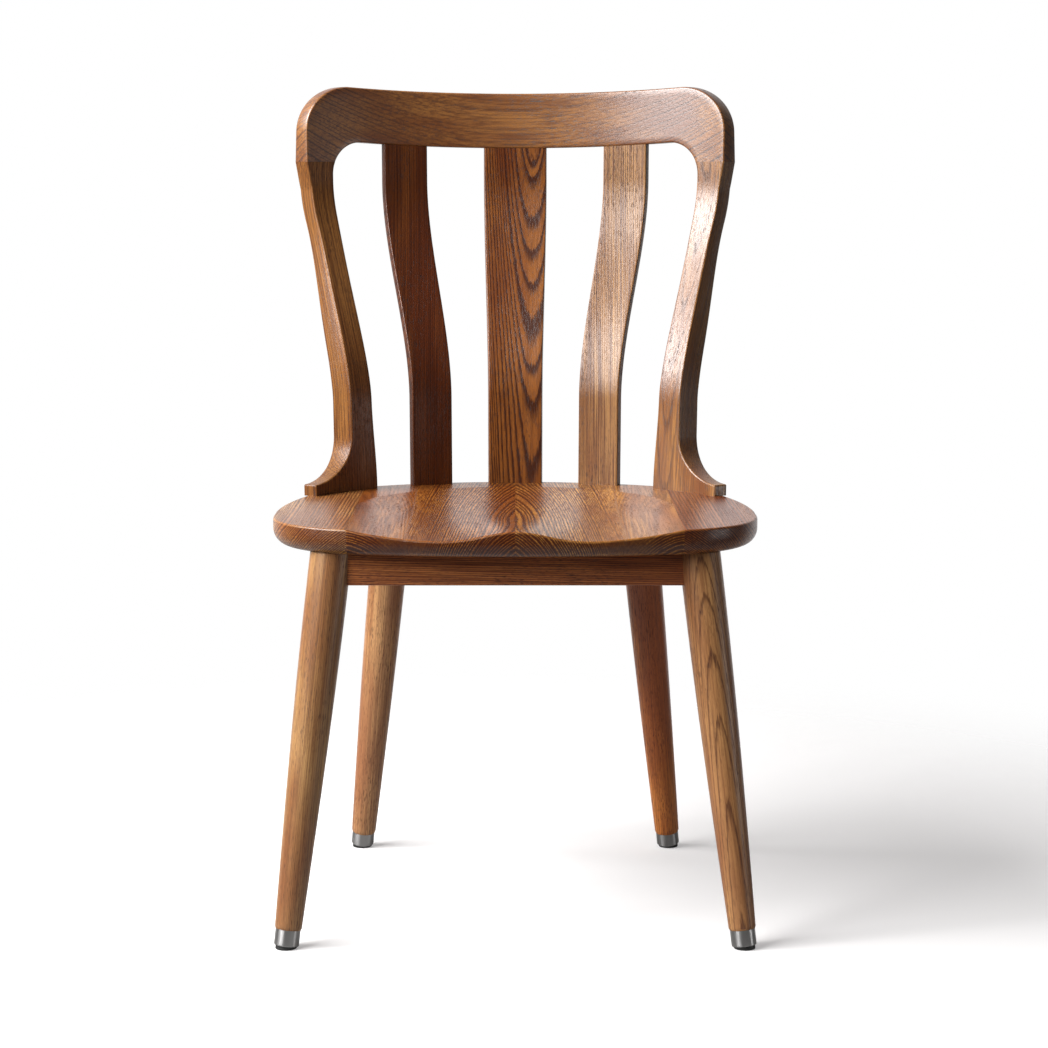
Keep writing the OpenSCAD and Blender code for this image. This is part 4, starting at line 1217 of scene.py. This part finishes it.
ferruleSteel = steelMaterial("ferruleSteel", (0.38, 0.375, 0.37), 0.32, 0.2, 0.95)
screwSteel = steelMaterial("screwSteel", (0.52, 0.51, 0.49), 0.34, 0.1)
glidePlastic = plasticMaterial("glidePlastic", (0.012, 0.012, 0.012), 0.5)

for rear in (False, True):
    for side, label in bothSides:
        where = ("rear_" if rear else "front_") + label
        keep(makeLeg(where, rear, side), "frame_wood", "leg_" + where)
        keep(makeFerrule(where, rear, side), "ferrule_steel", "ferrule_" + where)
        keep(makeGlide(where, rear, side), "glide_plastic", "glide_" + where)
print("stage 4: legs, ferrules and glides")

# the rails under the seat, whose ends are coped to the legs
rails = {"height": 35.0, "thick": 20.0, "arris": 1.6, "fit": 0.15, "reach": 60.0, "cols": 60}

# a point on the heart of each rail's log, in metres, and the way the log runs
railLogs = {
    "front": ((0, -0.19, 0.30), (1, 0.01, -0.02)),
    "rear": ((0.1, 0.02, 0.27), (1, 0.0, 0.015)),
    "left": ((-0.12, 0, 0.29), (0.14, 1, 0.01)),
    "right": ((0.12, 0, 0.29), (-0.14, 1, 0.01)),
}


def legRadius(rear, s):
    spec = legs["rear" if rear else "front"]
    part = np.sin(pi / 2 * np.minimum(1, s / spec["fill"])) / np.sin(pi / 2 * min(1, 1 / spec["fill"]))
    return legs["endR"] + (legs["topR"] - legs["endR"]) * part


# the rail's section as (across, up) points, with eased arrises
def railSection():
    h, t, r = rails["height"] / 2, rails["thick"] / 2, rails["arris"]
    section = []
    for cx, cy, a0 in ((t - r, h - r, 0), (-t + r, h - r, 90), (-t + r, -h + r, 180), (t - r, -h + r, 270)):
        for a in (0, 22.5, 45, 67.5, 90):
            section.append((cx + r * cos(radians(a0 + a)), cy + r * sin(radians(a0 + a))))
    return section


# start and end are (rear, side) of the two legs
def rail(name, start, end, material):
    mid = seatUnder - rails["height"] / 2
    nodes = []
    for rear, side in (start, end):
        spec, foot, head, axis = legLine(rear, side)
        nodes.append(foot + (head - foot) * (mid / seatUnder))
    run = nodes[1] - nodes[0]
    length = run.length
    run.normalize()
    across = Vector((0, 0, 1)).cross(run)
    section = railSection()
    n = len(section)

    def onRail(s, u, w):
        return nodes[0] + run * s + across * u + Vector((0, 0, w))

    # the bar's end lies where it meets the round leg; the span is halved until it is found
    def coped(u, w, which):
        rear, side = (start, end)[which]
        spec, foot, head, axis = legLine(rear, side)
        full = (head - foot).length
        base = spec["glide"] + spec["ferrule"]
        low, high = 0.0, rails["reach"]
        for _ in range(40):
            along = (low + high) / 2
            p = onRail(along if which == 0 else length - along, u, w)
            h0 = (p - foot).dot(axis)
            gap = (p - foot - axis * h0).length
            if gap > legRadius(rear, (h0 - base) / (full - base)) + rails["fit"]:
                high = along
            else:
                low = along
        return high if which == 0 else length - high

    ends = [[coped(u, w, which) for u, w in section] for which in (0, 1)]
    points, faces = [], []
    for c in range(rails["cols"] + 1):
        for i, (u, w) in enumerate(section):
            s = blend(ends[0][i], ends[1][i], c / rails["cols"])
            points.append(onRail(s, u, w) * mm)
    for c in range(rails["cols"]):
        for i in range(n):
            j = (i + 1) % n
            faces.append((c * n + i, c * n + j, (c + 1) * n + j, (c + 1) * n + i))
    for which, base in ((0, 0), (1, rails["cols"] * n)):
        centre = len(points)
        points.append((nodes[0] + run * coped(0, 0, which)) * mm)
        faces += [(base + i, base + (i + 1) % n, centre) for i in range(n)]
    return outward(meshObject(name, points, faces, material))


def railWood(label):
    return woodMaterial("railWood_" + label, stainedWithPaintedLight(railFinish, stainWithPaintedLight["rail"]), *railLogs[label])


keep(rail("rail_front", (False, -1), (False, 1), railWood("front")), "rail_wood", "apron_front")
keep(rail("rail_rear", (True, -1), (True, 1), railWood("rear")), "rail_wood", "apron_rear")
for side, label in bothSides:
    keep(rail("rail_" + label, (False, side), (True, side), railWood(label)), "rail_wood", "apron_" + label)

# blocks, dowels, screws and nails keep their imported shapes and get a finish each
blockFinish = vary(railFinish, light=rgb(150, 104, 66), deep=rgb(126, 82, 50))
dowelFinish = vary(railFinish, light=rgb(206, 172, 122), deep=rgb(190, 150, 102), band=rgb(150, 108, 70),
                   contrast=0.3)
blockWood = woodMaterial("blockWood", blockFinish, (0, 0, 0.2), (0.6, 1, 0.1))
dowelWood = woodMaterial("dowelWood", dowelFinish, (0, 0, 0.3), (1, 0.2, 0))
plainNodes = {
    "corner_block": blockWood, "apron_dowels": dowelWood, "crest_dowels": dowelWood,
    "stile_screws": screwSteel, "block_screws": screwSteel, "seat_screws": screwSteel,
    "glide_nails": screwSteel,
}
for nodeName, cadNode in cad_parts.items():
    for prefix, material in plainNodes.items():
        if nodeName.startswith(prefix):
            cadNode.data.materials.clear()
            cadNode.data.materials.append(material)
print("stage 5: rails and the rest")

# a pale floor that fades away at its rim, with a share of light for what sees it
floorLook = {
    "radius": 3.4, "sides": 128, "drop": 0.0002, "clearFrom": 0.6, "clearTo": 1.3,
    "colour": (0.93, 0.915, 0.91), "patchShade": 0.985, "glow": (1, 0.985, 0.99, 1), "glowLevel": 0.32,
    "seenShare": 0.7, "bounceShare": 0.3, "shinyShare": 0.1,
}


# 1 for a ray from the camera or through glass, and a share of it for one from a shiny surface
def seenRays(tree, shinyShare):
    rays = addNode(tree, "ShaderNodeLightPath").outputs
    shiny = times(tree, rays["Is Glossy Ray"], shinyShare)
    direct = calc(tree, "MAXIMUM", rays["Is Camera Ray"], rays["Is Transmission Ray"])
    return calc(tree, "MAXIMUM", direct, shiny)


def floorMaterial():
    material, tree = newMaterial("paleFloor")
    place = addNode(tree, "ShaderNodeTexCoord").outputs["Object"]
    patches = noise(tree, place, (3.0, 3.0, 3.0), 3.0).outputs[0]
    patchColour = tuple(c * floorLook["patchShade"] for c in floorLook["colour"])
    paint = mixColour(tree, patches, floorLook["colour"] + (1,), patchColour + (1,))
    # where it is seen, the floor is paler and glows a little, so that it stays white under a soft shadow
    seen = seenRays(tree, floorLook["shinyShare"])
    share = between(tree, seen, floorLook["bounceShare"], floorLook["seenShare"])
    matt = addNode(tree, "ShaderNodeBsdfDiffuse")
    tree.links.new(vectorCalc(tree, "SCALE", paint, share), matt.inputs["Color"])
    glow = addNode(tree, "ShaderNodeEmission")
    glow.inputs["Color"].default_value = floorLook["glow"]
    tree.links.new(times(tree, seen, floorLook["glowLevel"]), glow.inputs["Strength"])
    lit = addNode(tree, "ShaderNodeAddShader")
    tree.links.new(matt.outputs[0], lit.inputs[0])
    tree.links.new(glow.outputs[0], lit.inputs[1])
    clear = addNode(tree, "ShaderNodeBsdfTransparent")
    fade = remap(tree, vectorCalc(tree, "LENGTH", place), floorLook["clearFrom"], floorLook["clearTo"])
    # from below the floor is clear, so that the underside of the seat can be looked at
    below = addNode(tree, "ShaderNodeNewGeometry").outputs["Backfacing"]
    mixed = addNode(tree, "ShaderNodeMixShader")
    tree.links.new(calc(tree, "MAXIMUM", fade, below), mixed.inputs[0])
    tree.links.new(lit.outputs[0], mixed.inputs[1])
    tree.links.new(clear.outputs[0], mixed.inputs[2])
    finishMaterial(tree, mixed)
    return material


def makeFloor():
    bm = bmesh.new()
    bmesh.ops.create_circle(bm, cap_ends=True, radius=floorLook["radius"], segments=floorLook["sides"])
    mesh = bpy.data.meshes.new("floor")
    bm.to_mesh(mesh)
    bm.free()
    mesh.materials.append(floorMaterial())
    floor = bpy.data.objects.new("floor", mesh)
    bpy.context.scene.collection.objects.link(floor)
    floor.location = (0, 0, -floorLook["drop"])


makeFloor()

lights = {
    "window": {"at": (-2.00, -0.25, 2.15), "aim": (0, 0, 0.75), "size": (1.2, 1.6), "power": 98.0},
    "sheet": {"at": (-1.90, -1.38, 2.05), "aim": (0, 0, 0.75), "size": (1.5, 2.3), "power": 128.0},
    "strip": {"at": (2.3, -0.8, 0.24), "aim": (0, 0, 0.2), "size": (0.75, 0.45), "power": 5.0},
}
for name, spec in lights.items():
    lamp = bpy.data.lights.new(name, "AREA")
    lamp.shape = "RECTANGLE"
    lamp.size, lamp.size_y = spec["size"]
    lamp.energy = spec["power"]
    thing = bpy.data.objects.new(name, lamp)
    bpy.context.scene.collection.objects.link(thing)
    thing.location = spec["at"]
    thing.rotation_euler = (Vector(spec["aim"]) - Vector(spec["at"])).to_track_quat("-Z", "Y").to_euler()


# the room is dim in front, and paler overhead and behind, where the white sweep stands
roomLight = {
    "base": 0.05, "behind": 0.75, "over": 0.08, "behindRange": (0.4, 0.9), "overRange": (0.1, 0.9),
    "tint": (1.0, 0.985, 0.97, 1), "sweep": (1, 1, 1, 1),
}


def makeWorld():
    world = bpy.data.worlds.new("studio")
    bpy.context.scene.world = world
    world.use_nodes = True
    tree = world.node_tree
    tree.nodes.clear()
    parts = addNode(tree, "ShaderNodeSeparateXYZ")
    tree.links.new(addNode(tree, "ShaderNodeTexCoord").outputs["Generated"], parts.inputs[0])
    behind = remap(tree, parts.outputs["Y"], *roomLight["behindRange"])
    over = remap(tree, parts.outputs["Z"], *roomLight["overRange"])
    level = plus(tree, times(tree, behind, roomLight["behind"]), times(tree, over, roomLight["over"]))
    room = addNode(tree, "ShaderNodeBackground")
    room.inputs["Color"].default_value = roomLight["tint"]
    tree.links.new(plus(tree, level, roomLight["base"]), room.inputs["Strength"])
    white = addNode(tree, "ShaderNodeBackground")
    white.inputs["Color"].default_value = roomLight["sweep"]
    white.inputs["Strength"].default_value = 1.0
    # a shiny surface shows the white sweep where it stands, and the dim room in front
    mixed = addNode(tree, "ShaderNodeMixShader")
    tree.links.new(seenRays(tree, behind), mixed.inputs[0])
    tree.links.new(room.outputs[0], mixed.inputs[1])
    tree.links.new(white.outputs[0], mixed.inputs[2])
    out = addNode(tree, "ShaderNodeOutputWorld")
    tree.links.new(mixed.outputs[0], out.inputs["Surface"])


makeWorld()

cameraSpec = {
    "lens": 94.47, "sensor": 36.0, "distance": 2.774, "height": 0.8255, "pitch": 7.745, "shift": 0.0083,
    "far": 50,
}
camera = bpy.data.cameras.new("camera")
camera.lens, camera.sensor_width = cameraSpec["lens"], cameraSpec["sensor"]
camera.shift_x = cameraSpec["shift"]
camera.clip_end = cameraSpec["far"]
eye = bpy.data.objects.new("camera", camera)
bpy.context.scene.collection.objects.link(eye)
eye.location = (0, frontY * mm - cameraSpec["distance"], cameraSpec["height"])
eye.rotation_euler = (radians(90 - cameraSpec["pitch"]), 0, 0)
bpy.context.scene.camera = eye
bpy.context.scene.view_settings.view_transform = "Standard"
print("stage 6: floor, light and camera")
